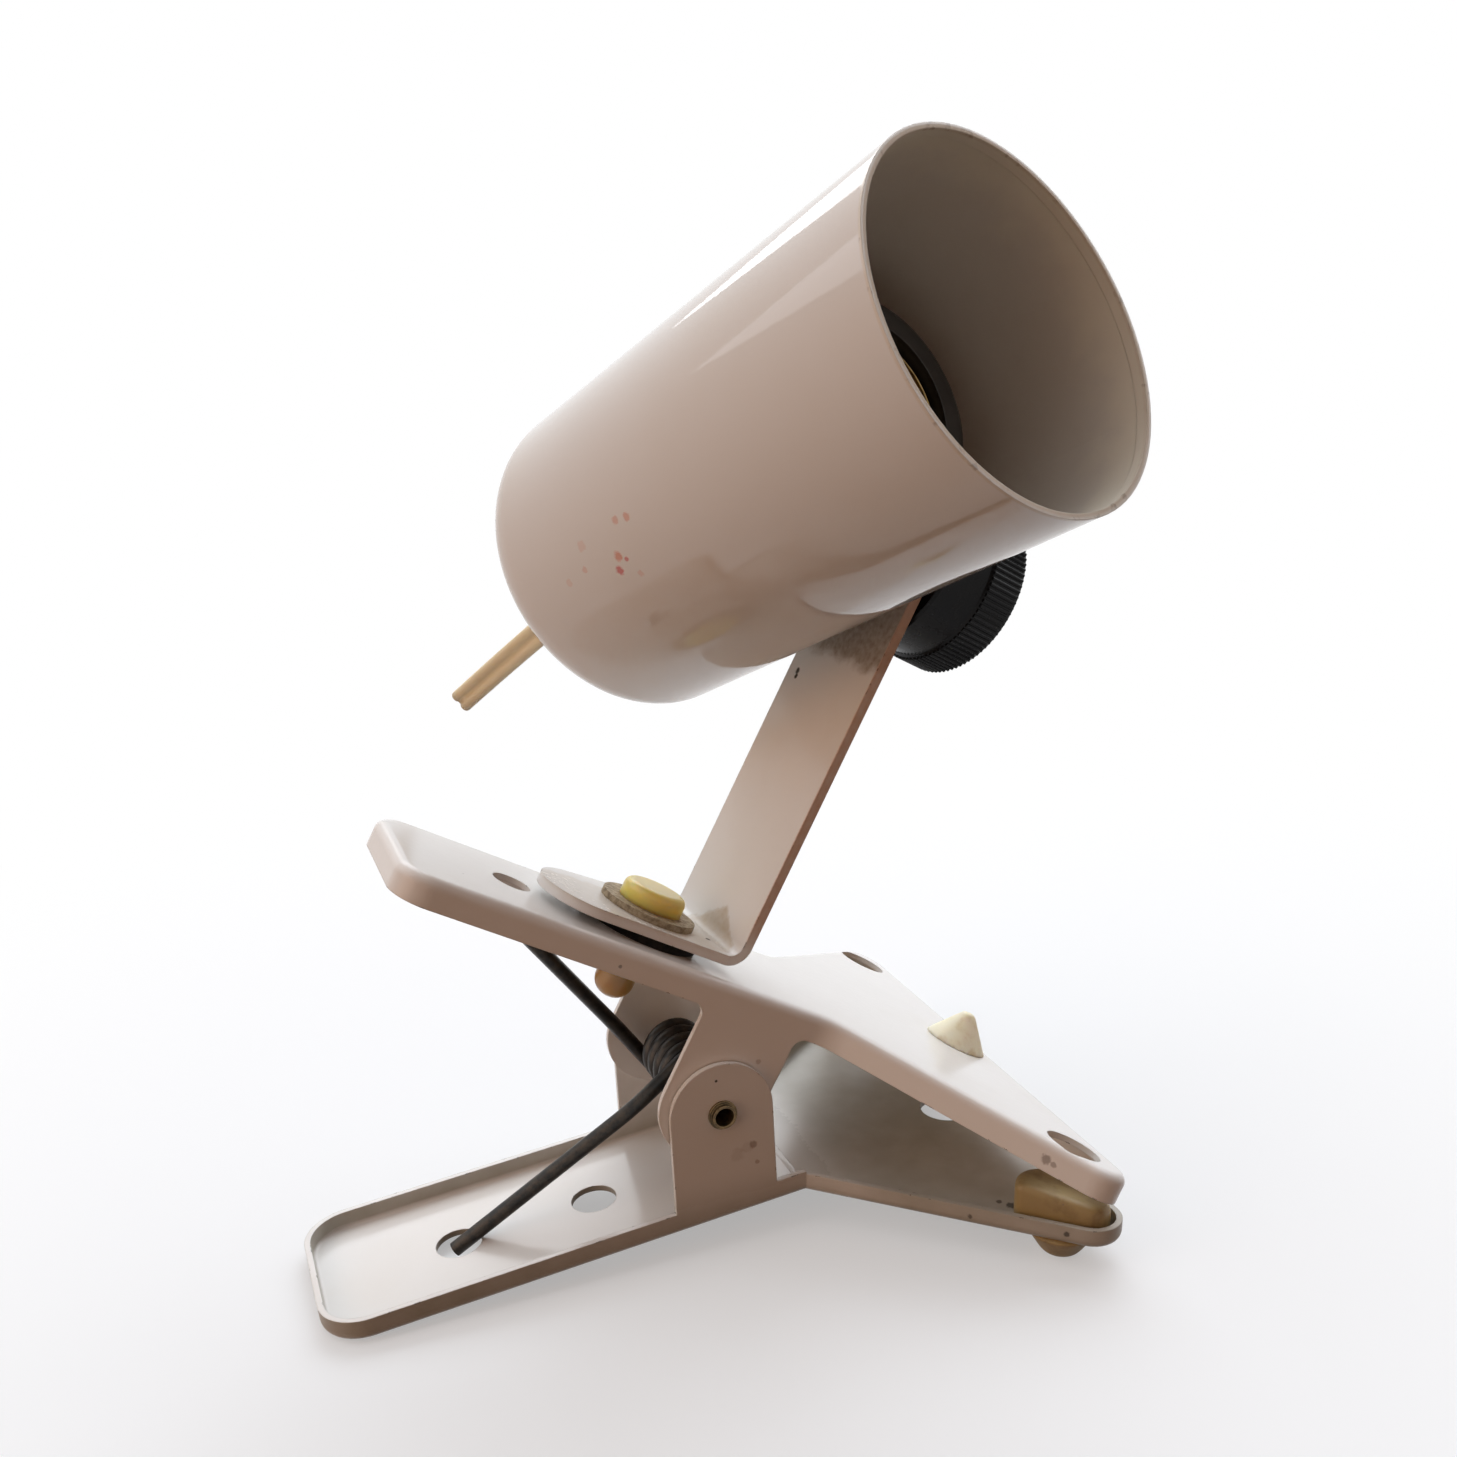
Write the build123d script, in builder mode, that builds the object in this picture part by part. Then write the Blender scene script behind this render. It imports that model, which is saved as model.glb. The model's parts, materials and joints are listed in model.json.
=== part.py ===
"""Clip-on spotlight: a sprung sheet-steel clip, an arm that swivels on it and a shade that tilts.

It is built about the clip's pivot pin, with +X to the front of the jaws, +Y across the clip and
+Z up, and moved at the end so that the origin lies on the surface it stands on, below the
middle of its box. All sizes are in millimetres and degrees.
"""
import os
from math import acos, atan2, ceil, cos, degrees, hypot, pi, radians, sin, sqrt, tan

from build123d import *

os.makedirs("parts", exist_ok=True)

# Fits
OVERRUN = 5.0
TURNING_GAP = 0.05
SIDE_GAP = 0.3

# Clip pressings, measured along the sheet from the foot of the pin
SHEET = 1.2
BEND = 2.0
CLIP_WIDTH = 39.0
FAN_START = 14.7
FAN_LENGTH = 51.0
FAN_WIDTH = 130.0
FAN_CORNER = 6.0
NECK_RADIUS = 8.0
NEAR_HOLE = 24.0
FAR_HOLE = 52.0
PAD_LINE = 41.5
PAD_SPREAD_SHARE = 0.728
PAD_HOLE_RADIUS = 5.5

# Upper jaw
UPPER_SLOPE = 30.5
UPPER_REACH = 24.2
UPPER_HANDLE = 77.2
UPPER_CORNER = 6.5
UPPER_HOLE_RADIUS = 3.9
UPPER_FLANGE = 5.6
UPPER_EAR_BACK = 12.5
UPPER_EAR_FRONT = 8.5
EAR_FILLET = 2.5
EAR_ROOT = 3.0

# Lower jaw
LOWER_SLOPE = 4.86
LOWER_FAN_SLOPE = 3.5
LOWER_REACH = 22.9
LOWER_HANDLE = 80.6
LOWER_CORNER = 9.0
LOWER_HOLE_RADIUS = 4.6
LOWER_FLANGE = 4.6
LOWER_FAN_FLANGE = 4.1
LOWER_EAR_RADIUS = 10.5

# Tubular pivot pin with a collar outside each ear
PIN_RADIUS = 2.4
PIN_BORE = 1.9
PIN_COLLAR_RADIUS = 2.9
PIN_COLLAR = 0.5
PIN_END = 1.4

# Torsion spring
WIRE = 3.0
COIL_RADIUS = 5.5
COIL_STEP = 3.5
COIL_FAR_END = 12.5
COIL_TURNS = 5
LEG_REACH = 58.0
LEG_STUB = 12.0
LEG_EASE = 5.0
LEG_TIP = 1.2

# Push-in rubber pads
PAD_RADIUS = 9.2
PAD_BACK_HEIGHT = 8.7
PAD_FRONT_HEIGHT = 4.5
PAD_ROUND = 1.2
PAD_TAIL_RADIUS = 6.9
UPPER_TAIL = 7.2
UPPER_TIP_RADIUS = 1.25
LOWER_TAIL = 5.3
LOWER_TIP_RADIUS = 3.4
TIP_ROUND_SHARE = 0.8

# Swivel stack, from the upper handle outwards
STUD_RADIUS = 3.0
STUD_TIP = 9.0
SPACER_RADIUS = 12.0
SPACER = 1.8
WASHER_RADIUS = 9.8
WASHER = 1.3
CAP_RADIUS = 6.5
CAP = 3.8
CAP_ROUND = 1.6
DOME_RADIUS = 4.0
DOME = 13.5
DOME_ROUND_SHARE = 0.9

# Arm
ARM_GAP = 0.08
ARM_YAW = 7.0
ARM_SHEET = 2.0
ARM_WIDTH = 28.4
ARM_BEND = 4.5
ARM_FACE = 14.7
ARM_RISE = 83.8
ARM_TOP_ROUND = 13.2
FOOT_REACH = 23.6
FOOT_RADIUS = 10.7

# Shade
SHADE_TILT = 35.7
SHADE_LEAN = 1.7
SHADE_LENGTH = 109.3
SHADE_MOUTH_RADIUS = 34.0
SHADE_BACK_RADIUS = 31.65
SHADE_BACK_ROUND = 9.2
SHADE_WALL = 0.9
SHADE_HEM = 1.1
SHADE_HEM_DEPTH = 2.2
SCREW_TO_MOUTH = 64.0

# Tilt joint
SADDLE_GAP = 1.5
SADDLE_RADIUS = 7.0
SADDLE = 1.6
SCREW_RADIUS = 2.0
SCREW_HEAD_RADIUS = 3.8
SCREW_HEAD = 2.6
SCREW_HEAD_ROUND = 1.0
SCREW_REACH = 12.0
FIBRE_RADIUS = 11.0
FIBRE = 1.0

# Knob
KNOB_NECK_RADIUS = 17.2
KNOB_NECK = 9.6
KNOB_RIM_RADIUS = 18.0
KNOB_RIM = 8.5
KNOB_ROUND = 1.2
INSERT_RADIUS = 4.0
INSERT_LENGTH = 14.5

# Lampholder
HOLDER_STAND = 28.5
RING_RADIUS = 19.8
RING_OPENING = 14.6
RING_LENGTH = 9.0
RING_ROUND = 1.5
SLEEVE_RADIUS = 18.0
SLEEVE_LENGTH = 25.0
HOLDER_WALL = 2.2
HOLDER_CAP = 18.0
HOLDER_CAP_RADIUS = 11.0
SHELL_RADIUS = 13.5
SHELL_WALL = 0.4
SHELL_LENGTH = 20.0
BLOCK_LENGTH = 12.0
CONTACT_RADIUS = 4.5
CONTACT = 1.2
TERMINAL_RADIUS = 1.75
TERMINAL_LENGTH = 3.0
TERMINAL_SPREAD = 9.0

# Threaded nipple and what sits on it
NIPPLE_RADIUS = 5.0
NIPPLE_BORE = 3.7
NIPPLE_STANDOUT = 2.4
NIPPLE_GRIP = 7.0
NUT_FLATS = 14.0
NUT_HEIGHT = 3.0
BUSH_RADIUS = 7.0
BUSH = 3.6
BUSH_ROUND = 1.2

# Flat twin flex, cut off square
FLEX_WIDTH = 5.6
FLEX_THICKNESS = 2.7
FLEX_WEB_SHARE = 0.6
FLEX_CORE_RADIUS = 0.55
FLEX_ROLL = 21.0
FLEX_INSIDE = 42.0
FLEX_BEND_AT = 2.0
FLEX_FREE = 64.0
FLEX_DROOP = 7.7
FLEX_BEND_SHARE = 0.45

# Points along the spring at which its gap to itself is measured
SPRING_SAMPLES = 900

upper_half = CLIP_WIDTH / 2 - SHEET - SIDE_GAP
lower_half = CLIP_WIDTH / 2
fan_half = FAN_WIDTH / 2
pad_spread = PAD_SPREAD_SHARE * fan_half
fan_front = FAN_START + FAN_LENGTH
pad_place = FAN_START + PAD_LINE


def sloped(angle):
    """Plane through the pin that falls by an angle towards the front of the jaws."""
    return Plane((0, 0, 0), x_dir=(cos(radians(angle)), 0, -sin(radians(angle))),
                 z_dir=(sin(radians(angle)), 0, cos(radians(angle))))


def shifted(plane, x=0, y=0, z=0):
    """The plane moved along its own axes."""
    return Plane(plane.from_local_coords((x, y, z)), x_dir=plane.x_dir, z_dir=plane.z_dir)


def flipped(plane):
    """The plane with its normal turned over and its local x kept."""
    return Plane(plane.origin, x_dir=plane.x_dir, z_dir=-plane.z_dir)


def section(plane):
    """Plane of a lengthwise section: local x as before, local y along the old normal."""
    return Plane(plane.origin, x_dir=plane.x_dir, z_dir=-plane.y_dir)


def normal_axis(plane):
    """Axis along the plane's normal through its origin."""
    return Axis(plane.origin, plane.z_dir)


def turn(plane, *outline):
    """Revolve a closed outline of (radius, height) points about the plane's normal."""
    with BuildSketch(section(plane)) as profile:
        with BuildLine():
            Polyline(*outline, close=True)
        make_face()
    return revolve(profile.sketch, axis=normal_axis(plane))


def ring(plane, inner, outer, bottom, top):
    """Turn a plain ring."""
    return turn(plane, (inner, bottom), (outer, bottom), (outer, top), (inner, top))


def bore(plane, radius, depth):
    """Cut a round hole from the plane along its normal."""
    with BuildSketch(plane) as opening:
        Circle(radius)
    extrude(opening.sketch, amount=depth, mode=Mode.SUBTRACT)


def pierce(plane, radius):
    """Cut a round hole through sheet that lies on the plane."""
    with BuildSketch(plane) as opening:
        Circle(radius)
    extrude(opening.sketch, amount=OVERRUN, both=True, mode=Mode.SUBTRACT)


def rim(part, plane, radius, height):
    """The circular edge of a turned part with this radius, nearest this height over the plane."""
    circles = part.edges().filter_by(GeomType.CIRCLE)
    own = [edge for edge in circles if abs(edge.radius - radius) < TURNING_GAP]
    return min(own, key=lambda edge: abs(plane.to_local_coords(edge.arc_center).Z - height))


# The sheets' outer faces: local x runs to the front of the jaws, local z upwards
upper_plane = sloped(UPPER_SLOPE).offset(UPPER_REACH)
handle_plane = sloped(-LOWER_SLOPE).offset(-LOWER_REACH)
bend_line = handle_plane.from_local_coords((FAN_START, 0, 0))
fan_slope = sloped(LOWER_FAN_SLOPE)
fan_plane = Plane(bend_line, x_dir=fan_slope.x_dir, z_dir=fan_slope.z_dir)

# Upper jaw: a flat tray with its flange turned down, and ears inside those of the lower jaw
with BuildPart() as upper_jaw:
    with BuildSketch(upper_plane) as upper_outline:
        near_rounds = (UPPER_CORNER, NECK_RADIUS, FAN_CORNER)
        with BuildLine():
            FilletPolyline((-UPPER_HANDLE, -upper_half), (FAN_START, -upper_half), (fan_front, -fan_half),
                           (fan_front, fan_half), (FAN_START, upper_half), (-UPPER_HANDLE, upper_half),
                           radius=near_rounds + near_rounds[::-1], close=True)
        make_face()
    extrude(amount=-UPPER_FLANGE)
    fillet(upper_jaw.faces().sort_by(normal_axis(upper_plane))[-1].edges(), BEND)
    offset(amount=-SHEET, openings=upper_jaw.faces().sort_by(normal_axis(upper_plane))[0])
    upper_side = Plane((0, 0, 0), x_dir=upper_plane.x_dir, z_dir=(0, -1, 0)).offset(upper_half)
    with BuildSketch(upper_side) as upper_ear:
        root = UPPER_REACH - UPPER_FLANGE
        strip = UPPER_REACH - BEND
        ear_middle = (UPPER_EAR_FRONT - UPPER_EAR_BACK) / 2
        ear_radius = (UPPER_EAR_FRONT + UPPER_EAR_BACK) / 2
        with BuildLine():
            Polyline((-UPPER_EAR_BACK, 0), (-UPPER_EAR_BACK, root), (-UPPER_EAR_BACK - EAR_ROOT, root),
                     (-UPPER_EAR_BACK - EAR_ROOT, strip), (UPPER_EAR_FRONT + EAR_ROOT, strip),
                     (UPPER_EAR_FRONT + EAR_ROOT, root), (UPPER_EAR_FRONT, root), (UPPER_EAR_FRONT, 0))
            ThreePointArc((UPPER_EAR_FRONT, 0), (ear_middle, -ear_radius), (-UPPER_EAR_BACK, 0))
        make_face()
        fillet(upper_ear.vertices().group_by(Axis.Y)[-2].sort_by(Axis.X)[1:3], EAR_FILLET)
        Circle(PIN_RADIUS + TURNING_GAP, mode=Mode.SUBTRACT)
    near_ear = extrude(upper_ear.sketch, amount=-SHEET)
    mirror(near_ear, about=Plane.XZ)
    pierce(shifted(upper_plane, -NEAR_HOLE), STUD_RADIUS + TURNING_GAP)
    pierce(shifted(upper_plane, -FAR_HOLE), UPPER_HOLE_RADIUS)
    for across in (-pad_spread, 0, pad_spread):
        pierce(shifted(upper_plane, pad_place, across), PAD_HOLE_RADIUS)

# Lower jaw: a handle tray and a fan tray that meet at a slight bend, with the outer ears
lower_bend = tan(radians(LOWER_SLOPE + LOWER_FAN_SLOPE))
lap = LOWER_FLANGE * lower_bend
with BuildPart() as handle_tray:
    with BuildSketch(handle_plane):
        with BuildLine():
            FilletPolyline((-LOWER_HANDLE, -lower_half), (FAN_START + lap, -lower_half),
                           (FAN_START + lap, lower_half), (-LOWER_HANDLE, lower_half),
                           radius=(LOWER_CORNER, 0, 0, LOWER_CORNER), close=True)
        make_face()
    extrude(amount=LOWER_FLANGE)
    lengthwise = Axis(handle_plane.origin, handle_plane.x_dir)
    fillet(handle_tray.faces().sort_by(normal_axis(handle_plane))[0].edges().sort_by(lengthwise)[:-1], BEND)
    offset(amount=-SHEET, openings=[handle_tray.faces().sort_by(normal_axis(handle_plane))[-1],
                                    handle_tray.faces().sort_by(lengthwise)[-1]])
with BuildPart() as fan_tray:
    with BuildSketch(fan_plane) as fan_outline:
        with BuildLine():
            FilletPolyline((-lap, -lower_half), (0, -lower_half), (FAN_LENGTH, -fan_half),
                           (FAN_LENGTH, fan_half), (0, lower_half), (-lap, lower_half),
                           radius=(0, 0, FAN_CORNER, FAN_CORNER, 0, 0), close=True)
        make_face()
    extrude(amount=LOWER_FAN_FLANGE)
    lengthwise = Axis(fan_plane.origin, fan_plane.x_dir)
    fillet(fan_tray.faces().sort_by(normal_axis(fan_plane))[0].edges().sort_by(lengthwise)[1:], BEND)
    offset(amount=-SHEET, openings=[fan_tray.faces().sort_by(normal_axis(fan_plane))[-1],
                                    fan_tray.faces().sort_by(lengthwise)[0]])
with BuildPart() as lower_jaw:
    add(handle_tray.part)
    add(fan_tray.part)
    with BuildSketch(Plane.XZ.offset(lower_half)) as lower_ear:
        rise = LOWER_EAR_RADIUS * tan(radians(LOWER_SLOPE))
        drop = (LOWER_REACH - BEND) / cos(radians(LOWER_SLOPE))
        with BuildLine():
            Polyline((-LOWER_EAR_RADIUS, 0), (-LOWER_EAR_RADIUS, -drop - rise),
                     (LOWER_EAR_RADIUS, -drop + rise), (LOWER_EAR_RADIUS, 0))
            ThreePointArc((LOWER_EAR_RADIUS, 0), (0, LOWER_EAR_RADIUS), (-LOWER_EAR_RADIUS, 0))
        make_face()
        Circle(PIN_RADIUS + TURNING_GAP, mode=Mode.SUBTRACT)
    near_ear = extrude(lower_ear.sketch, amount=-SHEET)
    mirror(near_ear, about=Plane.XZ)
    pierce(shifted(handle_plane, -NEAR_HOLE), LOWER_HOLE_RADIUS)
    pierce(shifted(handle_plane, -FAR_HOLE), LOWER_HOLE_RADIUS)
    for across in (-pad_spread, 0, pad_spread):
        pierce(shifted(fan_plane, PAD_LINE, across), PAD_HOLE_RADIUS)

# Tubular pin with its collars outside the lower ears
pin_plane = Plane.XZ
with BuildPart() as pivot_pin:
    ring(pin_plane, PIN_BORE, PIN_RADIUS, -lower_half - PIN_END, lower_half + PIN_END)
    ring(pin_plane, PIN_BORE, PIN_COLLAR_RADIUS, lower_half, lower_half + PIN_COLLAR)
    ring(pin_plane, PIN_BORE, PIN_COLLAR_RADIUS, -lower_half - PIN_COLLAR, -lower_half)


def leg_angle(target, side):
    """Angle about the pin at which a straight leg to the target leaves the coil."""
    bearing = degrees(atan2(target.Z, target.X)) % 360
    return bearing + side * degrees(acos(COIL_RADIUS / hypot(target.X, target.Z)))


def biarc(start, start_way, end, end_way):
    """Two tangent arcs from one point and direction to another."""
    chord = end - start
    square = 2 * (1 - start_way.dot(end_way))
    slope = chord.dot(start_way + end_way)
    reach = chord.dot(chord) / (slope + sqrt(slope * slope + square * chord.dot(chord)))
    before = start + start_way * reach
    after = end - end_way * reach
    middle = (before + after) / 2
    TangentArc(start, middle, tangent=start_way)
    TangentArc(middle, end, tangent=after - before)


# Torsion spring: the legs cross at the coil; one ends in the lower handle, one under the upper handle
lower_hook = shifted(handle_plane, -FAR_HOLE, 0, SHEET / 2).origin
upper_tip = shifted(upper_plane, -LEG_REACH, 0, -SHEET - SIDE_GAP - WIRE / 2).origin
coil_start = leg_angle(lower_hook, -1)
coil_sweep = coil_start - leg_angle(upper_tip, 1) + 360 * COIL_TURNS
coil_rise = COIL_STEP / 360
quarter_turns = ceil(coil_sweep / 90)


def coil_point(angle):
    """Point of the coil's centre line after an angle of winding."""
    place = radians(coil_start - angle)
    return Vector(COIL_RADIUS * cos(place), COIL_FAR_END - coil_rise * (coil_sweep - angle),
                  COIL_RADIUS * sin(place))


def coil_way(angle):
    """Direction of the coil's centre line after an angle of winding."""
    place = radians(coil_start - angle)
    return Vector(COIL_RADIUS * sin(place), degrees(coil_rise), -COIL_RADIUS * cos(place)).normalized()


lower_knee = coil_point(0) - coil_way(0) * LEG_STUB
upper_knee = coil_point(coil_sweep) + coil_way(coil_sweep) * LEG_STUB
lower_way = (lower_knee - lower_hook).normalized()
upper_way = (upper_tip - upper_knee).normalized()
steps = [coil_sweep * step / quarter_turns for step in range(quarter_turns + 1)]
with BuildPart() as torsion_spring:
    with BuildLine() as spring_path:
        wire_start = lower_hook - lower_way * LEG_TIP
        Line(wire_start, lower_knee - lower_way * LEG_EASE)
        biarc(lower_knee - lower_way * LEG_EASE, lower_way, lower_knee + coil_way(0) * LEG_EASE, coil_way(0))
        Line(lower_knee + coil_way(0) * LEG_EASE, coil_point(0))
        for here, there in zip(steps, steps[1:]):
            biarc(coil_point(here), coil_way(here), coil_point(there), coil_way(there))
        Line(coil_point(coil_sweep), upper_knee - coil_way(coil_sweep) * LEG_EASE)
        biarc(upper_knee - coil_way(coil_sweep) * LEG_EASE, coil_way(coil_sweep),
              upper_knee + upper_way * LEG_EASE, upper_way)
        Line(upper_knee + upper_way * LEG_EASE, upper_tip)
    with BuildSketch(Plane(wire_start, z_dir=lower_way)):
        Circle(WIRE / 2)
    sweep()


def pad(sheet, floor, along, across, tail, tip):
    """Rubber pad in a hole of a tray, its head on the tray's floor and its tail outside the sheet."""
    plane = shifted(sheet, along, across)
    neck = PAD_HOLE_RADIUS - TURNING_GAP
    body = turn(plane, (0, -tail), (tip, -tail), (PAD_TAIL_RADIUS, 0), (neck, 0), (neck, SHEET), (0, SHEET))
    fillet(rim(body, plane, tip, -tail), TIP_ROUND_SHARE * tip)
    with BuildSketch(shifted(plane, z=SHEET)) as head:
        Circle(PAD_RADIUS)
        with Locations((-along, -across)):
            add(floor.sketch, mode=Mode.INTERSECT)
    extrude(head.sketch, amount=PAD_BACK_HEIGHT)
    back = plane.from_local_coords((-PAD_RADIUS, 0, SHEET + PAD_BACK_HEIGHT))
    front = plane.from_local_coords((PAD_RADIUS, 0, SHEET + PAD_FRONT_HEIGHT))
    slope = front - back
    split(bisect_by=Plane(back, x_dir=slope, z_dir=slope.cross(plane.y_dir)), keep=Keep.BOTTOM)


# The middle hole of the upper jaw and the outer holes of the lower jaw have their pads
with BuildSketch() as upper_floor:
    add(upper_outline.sketch_local)
    offset(amount=-BEND)
with BuildSketch() as lower_floor:
    add(fan_outline.sketch_local)
    offset(amount=-BEND)
pad_places = {
    "upper_pad": (flipped(upper_plane), upper_floor, pad_place, 0, UPPER_TAIL, UPPER_TIP_RADIUS),
    "lower_pad_near": (fan_plane, lower_floor, PAD_LINE, -pad_spread, LOWER_TAIL, LOWER_TIP_RADIUS),
    "lower_pad_far": (fan_plane, lower_floor, PAD_LINE, pad_spread, LOWER_TAIL, LOWER_TIP_RADIUS),
}
pads = {}
for name, place in pad_places.items():
    with BuildPart() as pads[name]:
        pad(*place)
        fillet(pads[name].faces().sort_by(normal_axis(place[0]))[-1].edges(), PAD_ROUND)

# Swivel: a nylon stud holds the arm's foot down on a spacer and is closed by a dome under the handle
swivel_plane = shifted(upper_plane, -NEAR_HOLE)
stud_clear = STUD_RADIUS + TURNING_GAP
foot_top = SPACER + ARM_SHEET
cap_bottom = foot_top + WASHER
with BuildPart() as swivel_spacer:
    ring(swivel_plane, stud_clear, SPACER_RADIUS, 0, SPACER)
with BuildPart() as swivel_washer:
    ring(swivel_plane, stud_clear, WASHER_RADIUS, foot_top, cap_bottom)
with BuildPart() as swivel_stud:
    turn(swivel_plane, (0, -SHEET - STUD_TIP), (STUD_RADIUS, -SHEET - STUD_TIP), (STUD_RADIUS, cap_bottom),
         (CAP_RADIUS, cap_bottom), (CAP_RADIUS, cap_bottom + CAP), (0, cap_bottom + CAP))
    fillet(rim(swivel_stud, swivel_plane, CAP_RADIUS, cap_bottom + CAP), CAP_ROUND)
with BuildPart() as swivel_dome:
    dome_floor = -SHEET - STUD_TIP - TURNING_GAP
    turn(swivel_plane, (stud_clear, -SHEET), (DOME_RADIUS, -SHEET), (DOME_RADIUS, -SHEET - DOME),
         (0, -SHEET - DOME), (0, dome_floor), (stud_clear, dome_floor))
    fillet(rim(swivel_dome, swivel_plane, DOME_RADIUS, -SHEET - DOME), DOME_ROUND_SHARE * DOME_RADIUS)

# Arm: an angle of flat bar, its foot drawn in to a round end, its top round about the tilt axis
yaw = radians(ARM_YAW)
arm_plane = Plane(swivel_plane.origin, z_dir=swivel_plane.z_dir,
                  x_dir=swivel_plane.x_dir * cos(yaw) + swivel_plane.y_dir * sin(yaw))
arm_half = ARM_WIDTH / 2
arm_back = ARM_FACE + ARM_SHEET
tilt_height = foot_top + ARM_RISE
arm_top = tilt_height + arm_half
tilt_plane = Plane(arm_plane.from_local_coords((ARM_FACE, 0, tilt_height)),
                   x_dir=arm_plane.z_dir, z_dir=-arm_plane.x_dir)
knob_plane = Plane(arm_plane.from_local_coords((arm_back, 0, tilt_height)),
                   x_dir=arm_plane.z_dir, z_dir=arm_plane.x_dir)
screw_clear = SCREW_RADIUS + TURNING_GAP
with BuildPart() as arm:
    with BuildSketch(section(arm_plane)) as arm_profile:
        with BuildLine():
            Polyline((-FOOT_REACH, SPACER), (arm_back, SPACER), (arm_back, arm_top), (ARM_FACE, arm_top),
                     (ARM_FACE, foot_top), (-FOOT_REACH, foot_top), close=True)
        make_face()
        bends = arm_profile.vertices().sort_by_distance((arm_back, SPACER))
        fillet(bends[0], ARM_BEND)
        bends = arm_profile.vertices().sort_by_distance((ARM_FACE, foot_top))
        fillet(bends[0], ARM_BEND - ARM_SHEET)
    extrude(amount=arm_half, both=True)
    with BuildSketch(arm_plane) as foot_trim:
        foot_start = arm_back - ARM_BEND
        foot_middle = FOOT_RADIUS - FOOT_REACH
        flank = atan2(arm_half, foot_start - foot_middle)
        turned = flank + acos(FOOT_RADIUS / hypot(arm_half, foot_start - foot_middle))
        touch = (foot_middle + FOOT_RADIUS * cos(turned), FOOT_RADIUS * sin(turned))
        with Locations(((foot_start - FOOT_REACH - OVERRUN) / 2, 0)):
            Rectangle(foot_start + FOOT_REACH + OVERRUN, ARM_WIDTH + 2 * OVERRUN)
        with BuildLine():
            Polyline((touch[0], -touch[1]), (foot_start, -arm_half), (foot_start, arm_half), touch)
            ThreePointArc(touch, (-FOOT_REACH, 0), (touch[0], -touch[1]))
        make_face(mode=Mode.SUBTRACT)
    extrude(foot_trim.sketch, amount=foot_top + OVERRUN, mode=Mode.SUBTRACT)
    tall = Axis(arm_plane.origin, arm_plane.z_dir)
    fillet(arm.edges().filter_by(normal_axis(tilt_plane)).sort_by(tall)[-2:], ARM_TOP_ROUND)
    bore(arm_plane, STUD_RADIUS + ARM_GAP, foot_top + OVERRUN)
    pierce(tilt_plane, SCREW_RADIUS + ARM_GAP)

# Shade: a spun cup, slightly conical, hemmed at its mouth
tilt = radians(SHADE_TILT)
lean = radians(SHADE_LEAN)
upright_way = arm_plane.z_dir * sin(tilt) - arm_plane.y_dir * cos(tilt)
shade_way = upright_way * cos(lean) + arm_plane.x_dir * sin(lean)
shade_flare = (SHADE_MOUTH_RADIUS - SHADE_BACK_RADIUS) / SHADE_LENGTH
screw_from_back = SHADE_LENGTH - SCREW_TO_MOUTH
shade_at_screw = SHADE_BACK_RADIUS + shade_flare * screw_from_back
abreast = tilt_plane.from_local_coords((0, 0, SADDLE_GAP + shade_at_screw))
shade_plane = Plane(abreast - shade_way * screw_from_back, x_dir=arm_plane.x_dir, z_dir=shade_way)
with BuildPart() as shade_form:
    turn(shade_plane, (0, 0), (SHADE_BACK_RADIUS, 0), (SHADE_MOUTH_RADIUS, SHADE_LENGTH), (0, SHADE_LENGTH))
    fillet(rim(shade_form, shade_plane, SHADE_BACK_RADIUS, 0), SHADE_BACK_ROUND)
with BuildPart() as shade_shell:
    add(shade_form.part)
    offset(amount=-SHADE_WALL, openings=shade_shell.faces().sort_by(normal_axis(shade_plane))[-1])
with BuildPart() as shade_hollow:
    add(shade_form.part)
    add(shade_shell.part, mode=Mode.SUBTRACT)
with BuildPart() as shade:
    add(shade_shell.part)
    hem_start = SHADE_LENGTH - SHADE_HEM_DEPTH
    hem_inside = SHADE_MOUTH_RADIUS - SHADE_HEM
    turn(shade_plane, (hem_inside, hem_start), (SHADE_MOUTH_RADIUS - SHADE_WALL, hem_start),
         (SHADE_MOUTH_RADIUS - SHADE_WALL / 2, SHADE_LENGTH), (hem_inside, SHADE_LENGTH))
    bore(shade_plane, NIPPLE_RADIUS + TURNING_GAP, SHADE_WALL + OVERRUN)
    bore(tilt_plane, screw_clear, shade_at_screw)

# Tilt joint: saddle spacer outside the wall, saddle washer inside, screw, fibre washer and knob
head_seat = SADDLE_GAP + SHADE_WALL + SADDLE
with BuildPart() as tilt_spacer:
    ring(tilt_plane, screw_clear, SADDLE_RADIUS, 0, SADDLE_GAP + SADDLE)
    add(shade_form.part, mode=Mode.SUBTRACT)
with BuildPart() as tilt_washer:
    ring(tilt_plane, screw_clear, SADDLE_RADIUS, 0, head_seat)
    add(shade_hollow.part, mode=Mode.INTERSECT)
with BuildPart() as tilt_screw:
    screw_end = -ARM_SHEET - FIBRE - SCREW_REACH
    head_top = head_seat + SCREW_HEAD
    turn(tilt_plane, (0, screw_end), (SCREW_RADIUS, screw_end), (SCREW_RADIUS, head_seat),
         (SCREW_HEAD_RADIUS, head_seat), (SCREW_HEAD_RADIUS, head_top), (0, head_top))
    fillet(rim(tilt_screw, tilt_plane, SCREW_HEAD_RADIUS, head_top), SCREW_HEAD_ROUND)
with BuildPart() as fibre_washer:
    ring(knob_plane, screw_clear, FIBRE_RADIUS, 0, FIBRE)
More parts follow.
